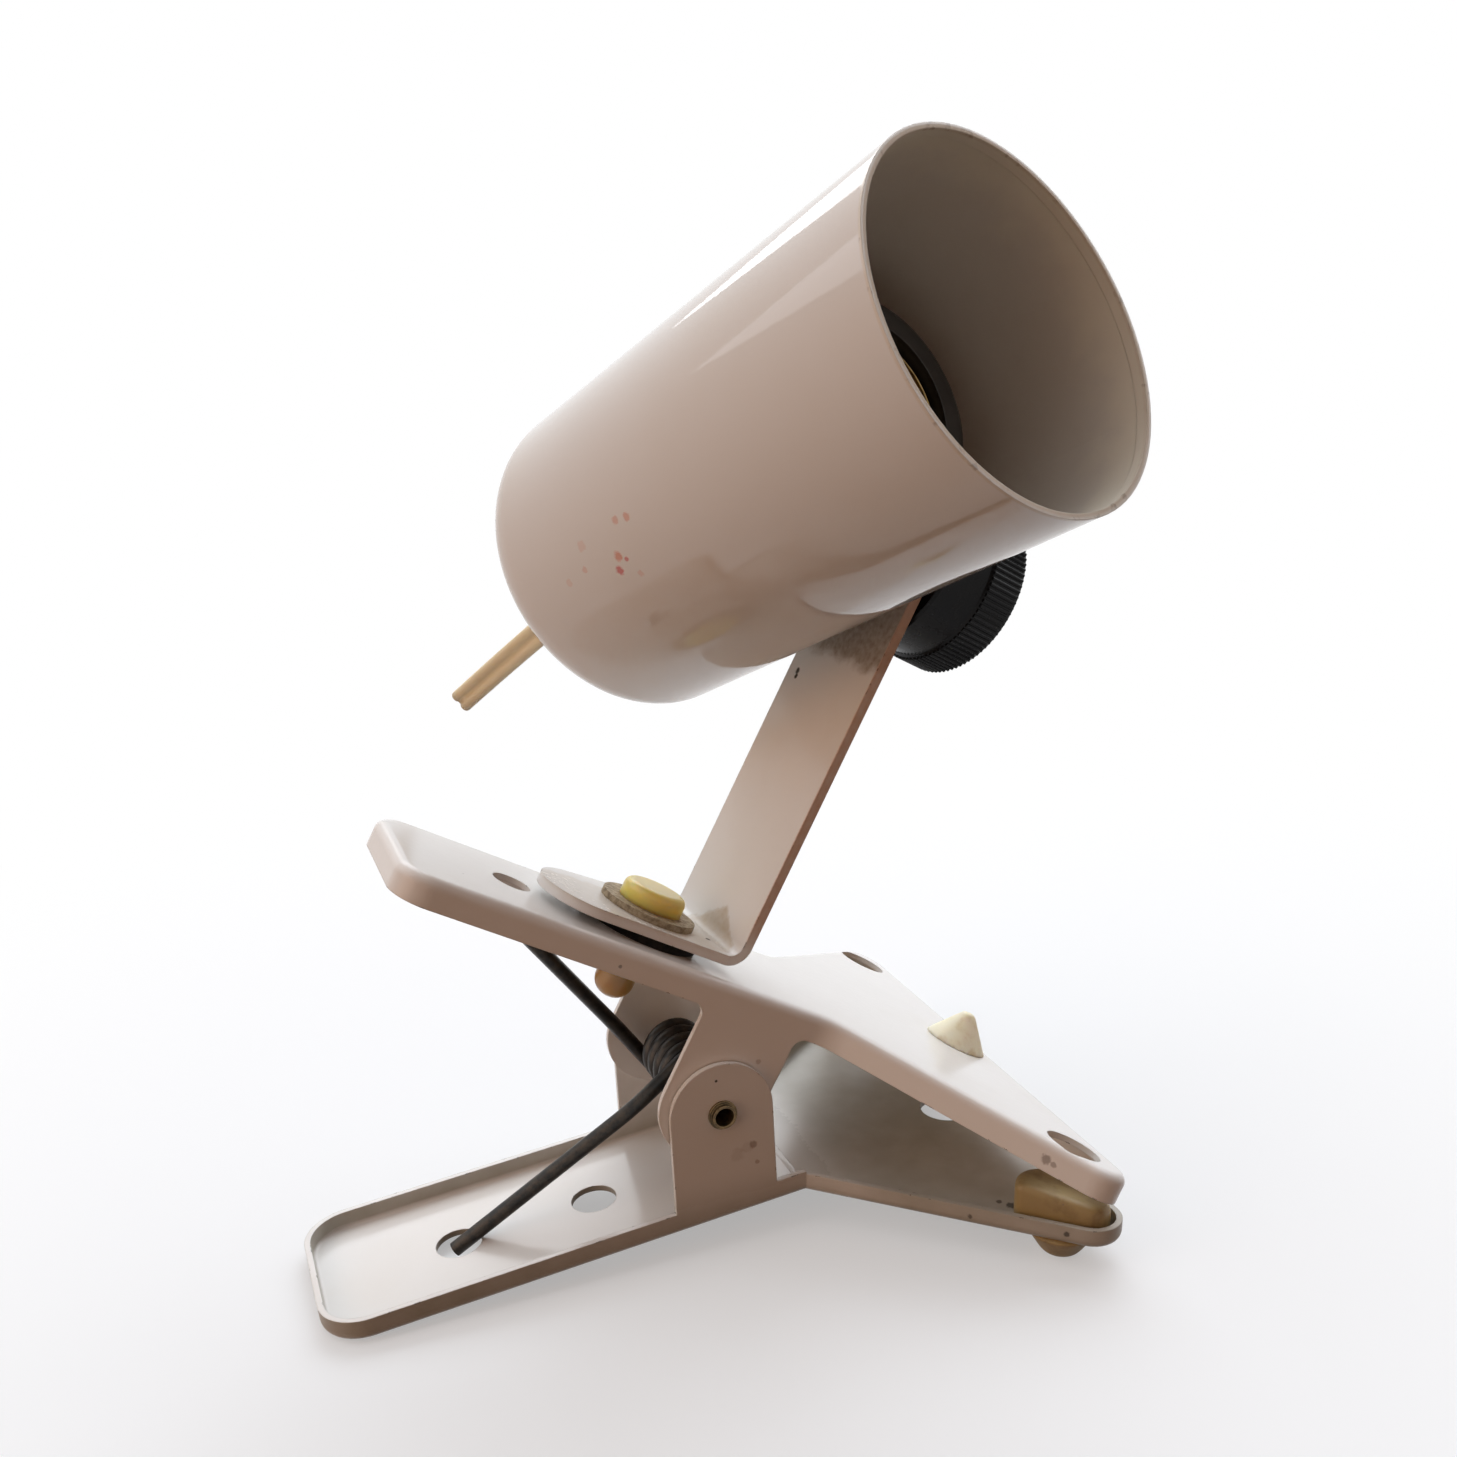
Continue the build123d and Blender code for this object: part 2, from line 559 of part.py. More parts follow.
with BuildPart() as tilt_knob:
    rim_start = FIBRE + KNOB_NECK
    knob_end = rim_start + KNOB_RIM
    insert_end = FIBRE + INSERT_LENGTH
    turn(knob_plane, (INSERT_RADIUS, FIBRE), (KNOB_NECK_RADIUS, FIBRE), (KNOB_NECK_RADIUS, rim_start),
         (KNOB_RIM_RADIUS, rim_start), (KNOB_RIM_RADIUS, knob_end), (0, knob_end), (0, insert_end),
         (INSERT_RADIUS, insert_end))
    fillet(rim(tilt_knob, knob_plane, KNOB_RIM_RADIUS, knob_end), KNOB_ROUND)
with BuildPart() as knob_insert:
    ring(knob_plane, screw_clear, INSERT_RADIUS, FIBRE, insert_end)

# Lampholder on its nipple, coaxial with the shade
grip_end = HOLDER_STAND + NIPPLE_GRIP
block_start = HOLDER_STAND + HOLDER_CAP
block_end = block_start + BLOCK_LENGTH
sleeve_end = block_start + SLEEVE_LENGTH
ring_end = sleeve_end + RING_LENGTH
nipple_clear = NIPPLE_RADIUS + TURNING_GAP
sleeve_inside = SLEEVE_RADIUS - HOLDER_WALL
with BuildPart() as holder_ring:
    ring(shade_plane, RING_OPENING, RING_RADIUS, sleeve_end, ring_end)
    fillet(rim(holder_ring, shade_plane, RING_RADIUS, ring_end), RING_ROUND)
with BuildPart() as holder_sleeve:
    ring(shade_plane, sleeve_inside, SLEEVE_RADIUS, block_start, sleeve_end)
with BuildPart() as holder_cap:
    turn(shade_plane, (nipple_clear, HOLDER_STAND), (HOLDER_CAP_RADIUS, HOLDER_STAND),
         (SLEEVE_RADIUS, block_start), (sleeve_inside, block_start),
         (HOLDER_CAP_RADIUS - HOLDER_WALL, grip_end), (nipple_clear, grip_end))
with BuildPart() as contact_block:
    block_radius = sleeve_inside - TURNING_GAP
    contact_seat = block_end - CONTACT
    turn(shade_plane, (0, block_start), (block_radius, block_start), (block_radius, block_end),
         (CONTACT_RADIUS, block_end), (CONTACT_RADIUS, contact_seat), (0, contact_seat))
with BuildPart() as screw_shell:
    ring(shade_plane, SHELL_RADIUS - SHELL_WALL, SHELL_RADIUS, block_end, block_end + SHELL_LENGTH)
with BuildPart() as centre_contact:
    ring(shade_plane, 0, CONTACT_RADIUS, contact_seat, block_end)
with BuildPart() as terminal_screws:
    for across in (-TERMINAL_SPREAD, TERMINAL_SPREAD):
        ring(shifted(shade_plane, across), 0, TERMINAL_RADIUS, block_start - TERMINAL_LENGTH, block_start)
with BuildPart() as nipple:
    ring(shade_plane, NIPPLE_BORE, NIPPLE_RADIUS, -NIPPLE_STANDOUT, grip_end)
with BuildPart() as nipple_nut:
    with BuildSketch(shifted(shade_plane, z=SHADE_WALL)):
        RegularPolygon(NUT_FLATS / 2, 6, major_radius=False)
        Circle(nipple_clear, mode=Mode.SUBTRACT)
    extrude(amount=NUT_HEIGHT)
with BuildPart() as cord_bush:
    turn(shade_plane, (nipple_clear, 0), (BUSH_RADIUS, 0), (BUSH_RADIUS, -BUSH), (NIPPLE_BORE, -BUSH),
         (NIPPLE_BORE, -NIPPLE_STANDOUT), (nipple_clear, -NIPPLE_STANDOUT))
    fillet(rim(cord_bush, shade_plane, BUSH_RADIUS, -BUSH), BUSH_ROUND)

# Flat twin flex: out along the shade's axis, then straight with a slight droop
sag_way = (shade_way * shade_way.Z - Vector(0, 0, 1)).normalized()
side_way = sag_way.cross(shade_way)
flex_wide = side_way * sin(radians(FLEX_ROLL)) - sag_way * cos(radians(FLEX_ROLL))
flex_route = [shade_plane.from_local_coords((0, 0, FLEX_INSIDE)),
              shade_plane.from_local_coords((0, 0, -FLEX_BEND_AT))]
free_way = sag_way * sin(radians(FLEX_DROOP)) - shade_way * cos(radians(FLEX_DROOP))
flex_route.append(flex_route[1] + free_way * FLEX_FREE)
flex_run = FLEX_INSIDE + FLEX_BEND_AT
flex_bend_radius = FLEX_BEND_SHARE * min(flex_run, FLEX_FREE) / tan(radians(FLEX_DROOP) / 2)
flex_start = Plane(flex_route[0], x_dir=flex_wide, z_dir=-shade_way)
core_places = [(side * (FLEX_WIDTH - FLEX_THICKNESS) / 2, 0) for side in (-1, 1)]
with BuildPart() as flex:
    with BuildLine() as flex_path:
        FilletPolyline(*flex_route, radius=flex_bend_radius)
    with BuildSketch(flex_start) as flex_section:
        Rectangle(FLEX_WIDTH - FLEX_THICKNESS, FLEX_THICKNESS * FLEX_WEB_SHARE)
        with Locations(*core_places):
            Circle(FLEX_THICKNESS / 2)
        with Locations(*core_places):
            Circle(FLEX_CORE_RADIUS, mode=Mode.SUBTRACT)
    sweep()
with BuildPart() as flex_cores:
    with BuildLine():
        FilletPolyline(*flex_route, radius=flex_bend_radius)
    with BuildSketch(flex_start):
        with Locations(*core_places):
            Circle(FLEX_CORE_RADIUS)
    sweep()

pieces = {
    "lower_jaw": lower_jaw, "pivot_pin": pivot_pin, "torsion_spring": torsion_spring, "upper_jaw": upper_jaw,
    **pads,
    "swivel_stud": swivel_stud, "swivel_dome": swivel_dome, "swivel_spacer": swivel_spacer,
    "swivel_washer": swivel_washer, "arm": arm, "fibre_washer": fibre_washer, "tilt_knob": tilt_knob,
    "knob_insert": knob_insert, "tilt_screw": tilt_screw, "tilt_spacer": tilt_spacer,
    "tilt_washer": tilt_washer, "shade": shade, "nipple": nipple, "nipple_nut": nipple_nut,
    "cord_bush": cord_bush, "holder_cap": holder_cap, "holder_sleeve": holder_sleeve,
    "holder_ring": holder_ring, "contact_block": contact_block, "screw_shell": screw_shell,
    "centre_contact": centre_contact, "terminal_screws": terminal_screws, "flex": flex,
    "flex_cores": flex_cores,
}
cords = ("flex", "flex_cores")

# The box without the cord gives the origin: on the floor, below the middle
boxes = [piece.part.bounding_box() for name, piece in pieces.items() if name not in cords]
low = [min(tuple(box.min)[axis] for box in boxes) for axis in range(3)]
high = [max(tuple(box.max)[axis] for box in boxes) for axis in range(3)]
shift = Vector(-(low[0] + high[0]) / 2, -(low[1] + high[1]) / 2, -low[2])
for name, piece in pieces.items():
    piece.part.label = name
    piece.part.move(Location(shift))
    export_step(piece.part, f"parts/{name}.step")

# What the spring and the flex measure
wire = spring_path.wires()[0]
shares = [step / SPRING_SAMPLES for step in range(SPRING_SAMPLES + 1)]
samples = [(share * wire.length, wire.position_at(share)) for share in shares]
clear_run = 2 * pi * COIL_RADIUS / 2
apart = min((a - b).length for s, a in samples for t, b in samples if t - s > clear_run)
section_area = flex_section.sketch.area
print(f"spring: least gap to itself {apart - WIRE:.2f} mm, wire {wire.length:.1f} mm long")
print(f"flex: bend radius {flex_bend_radius:.0f} mm, volume {flex.part.volume:.1f} mm3, "
      f"section times length {section_area * flex_path.wires()[0].length:.1f} mm3")
print("shift", shift)
places = {"pin": Vector(0, 0, 0), "swivel": swivel_plane.origin, "tilt": tilt_plane.origin,
          "knob": knob_plane.origin, "shade back": shade_plane.origin,
          "shade mouth": shade_plane.from_local_coords((0, 0, SHADE_LENGTH)),
          "lower near hole": shifted(handle_plane, -NEAR_HOLE).origin,
          "socket mouth": shade_plane.from_local_coords((0, 0, block_end + SHELL_LENGTH)),
          "flex exit": flex_route[1], "flex end": flex_route[2], "flex inside": flex_route[0]}
for name, place in places.items():
    print(name, [round(value, 3) for value in place + shift])
ways = {"swivel axis": swivel_plane.z_dir, "tilt axis": tilt_plane.z_dir, "shade axis": shade_plane.z_dir,
        "lower handle normal": handle_plane.z_dir, "flex wide": flex_wide}
for name, way in ways.items():
    print(name, [round(value, 5) for value in way])
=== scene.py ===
"""Clip-on spotlight: camera, light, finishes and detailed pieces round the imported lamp.

Everything is in the lamp's own frame. Sizes are named in millimetres and turned into metres
where a piece is placed.
"""
import json
from math import acos, atan2, cos, hypot, pi, radians, sin

import bmesh
import bpy
from mathutils import Matrix, Vector


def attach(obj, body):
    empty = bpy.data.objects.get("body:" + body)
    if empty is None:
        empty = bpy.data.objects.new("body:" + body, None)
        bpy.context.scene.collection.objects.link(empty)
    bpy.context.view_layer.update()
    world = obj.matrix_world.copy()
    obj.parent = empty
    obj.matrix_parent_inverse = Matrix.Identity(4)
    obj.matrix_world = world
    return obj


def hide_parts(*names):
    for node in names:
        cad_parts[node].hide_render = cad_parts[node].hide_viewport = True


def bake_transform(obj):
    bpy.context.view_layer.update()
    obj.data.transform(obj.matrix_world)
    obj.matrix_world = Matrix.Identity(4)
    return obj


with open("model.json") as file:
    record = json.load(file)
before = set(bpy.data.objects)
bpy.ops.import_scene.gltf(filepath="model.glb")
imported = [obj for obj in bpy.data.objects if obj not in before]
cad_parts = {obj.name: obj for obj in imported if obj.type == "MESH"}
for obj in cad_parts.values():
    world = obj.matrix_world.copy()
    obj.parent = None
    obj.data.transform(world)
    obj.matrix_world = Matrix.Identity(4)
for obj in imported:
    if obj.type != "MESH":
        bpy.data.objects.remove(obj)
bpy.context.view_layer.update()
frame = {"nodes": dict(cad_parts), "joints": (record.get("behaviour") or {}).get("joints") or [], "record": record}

MM = 0.001
IMAGE_PIXELS = 1457
FULL_TURN = 2 * pi
BEVEL_SAMPLES = 4
NOISE_MIDDLE = 0.5

joints = {joint["name"]: joint for joint in frame["joints"]}
mounts = {mount["name"]: mount for mount in frame["record"]["mounts"]}
nodes = frame["nodes"]


class Place:
    """A piece's own axes: an origin in metres and three directions."""

    def __init__(self, origin, out, along=(1, 0, 0)):
        self.origin = Vector(origin)
        self.z = Vector(out).normalized()
        self.x = (Vector(along) - self.z * self.z.dot(Vector(along))).normalized()
        self.y = self.z.cross(self.x)

    def at(self, x=0, y=0, z=0):
        """The point at these millimetres along the place's axes."""
        return self.origin + (self.x * x + self.y * y + self.z * z) * MM

    def matrix(self):
        """Matrix that carries a mesh made about the origin, in metres, to this place."""
        turn = Matrix((self.x, self.y, self.z)).transposed().to_4x4()
        return Matrix.Translation(self.origin) @ turn


SOCKET_TO_BACK = 78.5
NEAR_HOLE = 24.0

pin = Place(joints["clip_open"]["pos_m"], (0, 0, 1))
swivel = Place(joints["arm_swivel"]["pos_m"], joints["arm_swivel"]["axis"])
upper = Place(swivel.at(NEAR_HOLE), swivel.z)
arm = Place(swivel.origin, swivel.z, -Vector(joints["head_tilt"]["axis"]))
knob = Place(joints["knob_turn"]["pos_m"], joints["knob_turn"]["axis"], swivel.z)
hole = mounts["lower_handle_hole"]
near_hole = Place(hole["pos_m"], -Vector(hole["axis"]))
lower = Place(near_hole.at(NEAR_HOLE), near_hole.z)
socket_axis = Vector(mounts["lamp_socket"]["axis"]).normalized()
shade = Place(Vector(mounts["lamp_socket"]["pos_m"]) - socket_axis * SOCKET_TO_BACK * MM, socket_axis, arm.x)

# Camera, at the photograph's view, placed from the pin
CAMERA_AT = (-87.9, -282.4, 156.3)
CAMERA_AZIMUTH = radians(-19.6)
CAMERA_ELEVATION = radians(15.95)
CAMERA_ROLL = radians(-3.24)
FOCAL_PIXELS = 1606.7
SENSOR = 36.0


def make_camera():
    """Sets the camera by its place, direction and roll."""
    level = cos(CAMERA_ELEVATION)
    ahead = Vector((-sin(CAMERA_AZIMUTH) * level, cos(CAMERA_AZIMUTH) * level, -sin(CAMERA_ELEVATION)))
    right = ahead.cross(Vector((0, 0, 1))).normalized()
    down = ahead.cross(right)
    rolled_right = right * cos(CAMERA_ROLL) - down * sin(CAMERA_ROLL)
    rolled_down = right * sin(CAMERA_ROLL) + down * cos(CAMERA_ROLL)
    data = bpy.data.cameras.new("camera")
    data.sensor_fit = "HORIZONTAL"
    data.sensor_width = SENSOR
    data.lens = SENSOR * FOCAL_PIXELS / IMAGE_PIXELS
    data.clip_start = MM
    camera = bpy.data.objects.new("camera", data)
    turn = Matrix((rolled_right, -rolled_down, -ahead)).transposed().to_4x4()
    camera.matrix_world = Matrix.Translation(pin.at(*CAMERA_AT)) @ turn
    bpy.context.scene.collection.objects.link(camera)
    bpy.context.scene.camera = camera


make_camera()


class Value:
    """A node's output that adds Math nodes to its net when it is reckoned with."""

    def __init__(self, net, socket):
        self.net = net
        self.socket = socket

    def __add__(self, other):
        return self.net.math("ADD", self, other)

    def __sub__(self, other):
        return self.net.math("SUBTRACT", self, other)

    def __rsub__(self, other):
        return self.net.math("SUBTRACT", other, self)

    def __mul__(self, other):
        return self.net.math("MULTIPLY", self, other)

    def __truediv__(self, other):
        return self.net.math("DIVIDE", self, other)

    def __lt__(self, other):
        return self.net.math("LESS_THAN", self, other)

    def __abs__(self):
        return self.net.math("ABSOLUTE", self)

    __radd__ = __add__
    __rmul__ = __mul__


class Net:
    """A node tree that is built up node by node."""

    def __init__(self, tree):
        self.tree = tree

    def feed(self, socket, value):
        """Links a value to a socket, or sets it on the socket."""
        if isinstance(value, Value):
            self.tree.links.new(value.socket, socket)
        else:
            socket.default_value = value

    def node(self, kind, settings=None, sockets=None, out=0):
        """Adds a node of this kind, with its settings set first, and gives one of its outputs."""
        made = self.tree.nodes.new(kind)
        for name, setting in (settings or {}).items():
            setattr(made, name, setting)
        for name, value in (sockets or {}).items():
            self.feed(made.inputs[name], value)
        return Value(self, made.outputs[out])

    def math(self, operation, *values):
        """A Math node on values or numbers."""
        return self.node("ShaderNodeMath", {"operation": operation}, dict(enumerate(values)))

    def larger(self, a, b):
        """The larger of two values."""
        return self.math("MAXIMUM", a, b)

    def smaller(self, a, b):
        """The smaller of two values."""
        return self.math("MINIMUM", a, b)


class Finish(Net):
    """A material: one Principled shader with constant sockets and whatever varies over the surface."""

    def __init__(self, name, **constants):
        self.material = bpy.data.materials.new(name)
        self.material.use_nodes = True
        super().__init__(self.material.node_tree)
        self.shader = self.tree.nodes["Principled BSDF"]
        for socket, value in constants.items():
            self.shader.inputs[socket.replace("_", " ")].default_value = value
        self.where = self.node("ShaderNodeTexCoord", out="Object")

    def surface(self, **sockets):
        """Feeds the shader's own sockets."""
        for name, value in sockets.items():
            self.feed(self.shader.inputs[name.replace("_", " ")], value)

    def vector(self, operation, a, b, out=0):
        """A Vector Math node."""
        return self.node("ShaderNodeVectorMath", {"operation": operation}, {0: a, 1: b}, out)

    def apart(self, point):
        """Distance from a point, in millimetres."""
        return self.vector("DISTANCE", self.where, tuple(point), "Value") / MM

    def own(self, place):
        """The place's own three coordinates, in millimetres."""
        offset = self.vector("SUBTRACT", self.where, tuple(place.origin))
        axes = (place.x, place.y, place.z)
        return [self.vector("DOT_PRODUCT", offset, tuple(axis), "Value") / MM for axis in axes]

    def noise(self, size, detail=2.0, rough=0.5):
        """Noise from 0 to 1 with features of about this many millimetres."""
        sockets = {"Vector": self.where, "Scale": 1 / (size * MM), "Detail": detail, "Roughness": rough}
        return self.node("ShaderNodeTexNoise", {}, sockets, "Fac")

    def mottled(self, base, spread, size, detail=4.0):
        """A base value that rises by up to a spread, in patches of about this many millimetres."""
        return base + self.noise(size, detail) * spread

    def specks(self, size, share, radius):
        """Scattered round specks: the cell size, the share of cells with one, and its radius share."""
        sockets = {"Vector": self.where, "Scale": 1 / (size * MM)}
        gap = self.node("ShaderNodeTexVoronoi", {}, sockets, "Distance")
        colour = self.node("ShaderNodeTexVoronoi", {}, sockets, "Color")
        draw = self.node("ShaderNodeSeparateColor", {}, {"Color": colour}, "Red")
        return self.fade(gap, radius, radius / 2) * (draw < share)

    def fade(self, value, start, end):
        """0 to 1 smoothly as the value goes from start to end."""
        low, high, first, last = (start, end, 0.0, 1.0) if start < end else (end, start, 1.0, 0.0)
        sockets = {"Value": value, "From Min": low, "From Max": high, "To Min": first, "To Max": last}
        return self.node("ShaderNodeMapRange", {"interpolation_type": "SMOOTHSTEP"}, sockets)

    def mix(self, share, a, b):
        """Colour a going over to colour b."""
        return self.node("ShaderNodeMix", {"data_type": "RGBA"}, {0: share, 6: a, 7: b}, 2)

    def bevel(self, radius):
        """The normal with sharp edges rounded to a radius in millimetres."""
        return self.node("ShaderNodeBevel", {"samples": BEVEL_SAMPLES}, {"Radius": radius * MM}, "Normal")

    def edge(self, radius):
        """0 on flat faces and towards 1 beside sharp edges, within a radius in millimetres."""
        flat = self.node("ShaderNodeNewGeometry", {}, {}, "Normal")
        return 1 - self.vector("DOT_PRODUCT", self.bevel(radius), flat, "Value")

    def bump(self, height, depth, normal=None, strength=1.0):
        """Surface relief: height from 0 to 1, times a depth in millimetres."""
        sockets = {"Height": height, "Distance": depth * MM, "Strength": strength}
        if normal:
            sockets["Normal"] = normal
        return self.node("ShaderNodeBump", {}, sockets, "Normal")

    def spot(self, point, radius, ragged=None):
        """A mark round a point, full inside half its radius, with a ragged edge if noise is given."""
        reach = self.apart(point)
        if ragged:
            reach = reach + (ragged - NOISE_MIDDLE) * radius
        return self.fade(reach, radius, radius / 2)


def paint(finish, *names):
    """Gives CAD nodes this finish."""
    for name in names:
        for slot in nodes[name].material_slots:
            slot.material = finish.material


# Finishes
# A lighter copy of the same white enamel, for the upper jaw and the arm: painted light
ENAMEL_PAINTED_LIGHT = (0.87, 0.87, 0.855, 1)
ENAMEL_WHITE = (0.80, 0.80, 0.785, 1)
ENAMEL_AGED = (0.77, 0.745, 0.69, 1)
CHIP_DARK = (0.035, 0.026, 0.020, 1)
# Brown for dust; on the arm under the shade it also stands for painted shade
DUST_AND_SHADE_BROWN = (0.24, 0.17, 0.105, 1)
OCHRE = (0.42, 0.28, 0.10, 1)
# Pink for the arm's near edge: painted warm shade
EDGE_SHADE_PINK = (0.68, 0.47, 0.36, 1)
# Olive for the lower jaw's inside and low sides: grime and painted shade
GRIME_AND_SHADE_OLIVE = (0.26, 0.235, 0.165, 1)
STAIN_BROWN = (0.12, 0.065, 0.035, 1)
RUST_BROWN = (0.22, 0.11, 0.04, 1)
EDGE_RADIUS = 0.35
ENAMEL_IOR = 1.36
# Noise: the size in millimetres and the detail
CLOUD = (28.0, 3)
FINE_GRAIN = (0.9, 4)
CHIP_GRAIN = (2.2, 4)
PEEL = (1.6, 2)
PEEL_DEPTH = 0.03
PEEL_STRENGTH = 0.5
# Noise levels between which the enamel yellows, an edge chips and a patch of chips shows
YELLOWED = (0.45, 0.8)
YELLOW_SHARE = 0.4
CHIP_EDGE = (0.06, 0.16)
CHIP_PATCH = (0.60, 0.66)
CHIP_REACH = 0.5
CHIP_DEPTH = 0.8
# Roughness: the base, the spread, the size in millimetres and the detail; then what wear adds to it
ENAMEL_ROUGH = (0.09, 0.08, 9.0, 3)
WASH_ROUGH = 0.4
MARK_ROUGH = 0.3
CHIP_ROUGH = 0.4
GRAIN_ROUGH = 0.05
# Specks: the cell size in millimetres, the share of cells with one, and its radius share
ENAMEL_SPECKS = (7.0, 0.10, 0.055)


def enamel(name, white, marks=(), washes=()):
    """Gloss off-white stove enamel: orange peel, faint yellowing, chipped edges, what has marked it, and washes of
    stain, dust and painted shade.

    marks are (point, radius in millimetres, tint, share); washes are (function that gives a mask, tint).
    """
    finish = Finish(name, IOR=ENAMEL_IOR)
    fine = finish.noise(*FINE_GRAIN)
    yellowed = finish.fade(finish.noise(*CLOUD), *YELLOWED) * YELLOW_SHARE
    colour = finish.mix(yellowed, white, ENAMEL_AGED)
    rough = finish.mottled(*ENAMEL_ROUGH)
    for wash, tint in washes:
        share = wash(finish)
        colour = finish.mix(share, colour, tint)
        rough = rough + share * WASH_ROUGH
    for point, radius, tint, share in marks:
        mark = finish.spot(point, radius, fine) * share
        colour = finish.mix(mark, colour, tint)
        rough = rough + mark * MARK_ROUGH
    chip = finish.fade(finish.edge(CHIP_REACH), *CHIP_EDGE)
    chip = chip * finish.fade(finish.noise(*CHIP_GRAIN), *CHIP_PATCH)
    worn = finish.larger(chip, finish.specks(*ENAMEL_SPECKS))
    colour = finish.mix(worn, colour, CHIP_DARK)
    relief = finish.noise(*PEEL) - worn * CHIP_DEPTH
    peel = finish.bump(relief, PEEL_DEPTH, finish.bevel(EDGE_RADIUS), PEEL_STRENGTH)
    rough = rough + worn * CHIP_ROUGH + fine * GRAIN_ROUGH
    finish.surface(Base_Color=colour, Roughness=rough, Normal=peel)
    return finish


# Where marks lie, in millimetres of the piece's own axes
EAR_FACE = -19.5
ARM_FACE = 14.7
FACE_GAP = 0.5
ARM_EDGE = -14.2
# The arm's pink near edge, painted warm shade: its width and its rise
RIM_WIDTH = (0.5, 0.1)
RIM_RISE = (5.0, 12.0)
# The arm's dust under the shade is also painted shade
DUST_SHADE_LINE = 65.0
DUST_SHADE_SOFT = (-2.0, 1.5)
STAIN_TOP = (-3.0, 11.0)
STAIN_FALL = 0.7
STAIN_SOFT = (-0.2, 1.2)
STAIN_FOOT = (2.5, 5.0)
# The lower jaw's olive wash: grime and painted shade inside the fan, painted shade low on the sides
GRIME_SHADE_START = (13.0, 34.0)
GRIME_SHADE_DEPTH = (-8.0, -16.0)
SIDES_SHADE_LOW = (-12.0, -26.0)
# How strong a wash is, and how far its edge wanders: the base, the spread and the size in millimetres
GRIME_SHADE_INSIDE = 0.6
SIDES_SHADE = 0.7
GRIME_SHADE_MOTTLE = (0.75, 0.5, 6.0)
DUST_SHADE_MOTTLE = (0.35, 0.7, 1.2)
DUST_SHADE_WANDER = (-3.0, 6.0, 3.5)
STAIN_MOTTLE = (0.3, 0.35, 1.4)
STAIN_WANDER = (-1.5, 3.0, 2.5)
RIM_MOTTLE = (0.45, 0.7, 2.0)


def lower_grime_and_shade(finish):
    """Olive grime and painted shade inside the lower fan, and painted shade low on the lower jaw's upright sides.
    """
    along, _, height = finish.own(pin)
    inside = finish.fade(along, *GRIME_SHADE_START) * finish.fade(height, *GRIME_SHADE_DEPTH)
    facing = finish.node("ShaderNodeNewGeometry", {}, {}, "Normal")
    upright = 1 - abs(finish.vector("DOT_PRODUCT", facing, (0, 0, 1), "Value"))
    sides = upright * finish.fade(height, *SIDES_SHADE_LOW)
    return finish.larger(inside * GRIME_SHADE_INSIDE, sides * SIDES_SHADE) * finish.mottled(*GRIME_SHADE_MOTTLE)


def arm_dust_and_shade(finish):
    """Brown dust and painted shade on the arm under the shade."""
    height = finish.own(arm)[2]
    settled = finish.fade(height + finish.mottled(*DUST_SHADE_WANDER) - DUST_SHADE_LINE, *DUST_SHADE_SOFT)
    return settled * finish.mottled(*DUST_SHADE_MOTTLE)


def arm_stain(finish):
    """An ochre stain that rises to a point out of the arm's bend."""
    along, across, height = finish.own(arm)
    middle, top = STAIN_TOP
    inside = top - abs(across - middle) * STAIN_FALL - height + finish.mottled(*STAIN_WANDER)
    front = along < ARM_FACE + FACE_GAP
    shape = finish.fade(inside, *STAIN_SOFT) * finish.fade(height, *STAIN_FOOT) * front
    return shape * finish.mottled(*STAIN_MOTTLE)


def arm_edge_shade(finish):
    """Pink along the arm's near edge, rising from above the foot: painted warm shade."""
    _, across, height = finish.own(arm)
    rim = finish.fade(across - ARM_EDGE, *RIM_WIDTH)
    return rim * finish.fade(height, *RIM_RISE) * finish.mottled(*RIM_MOTTLE)


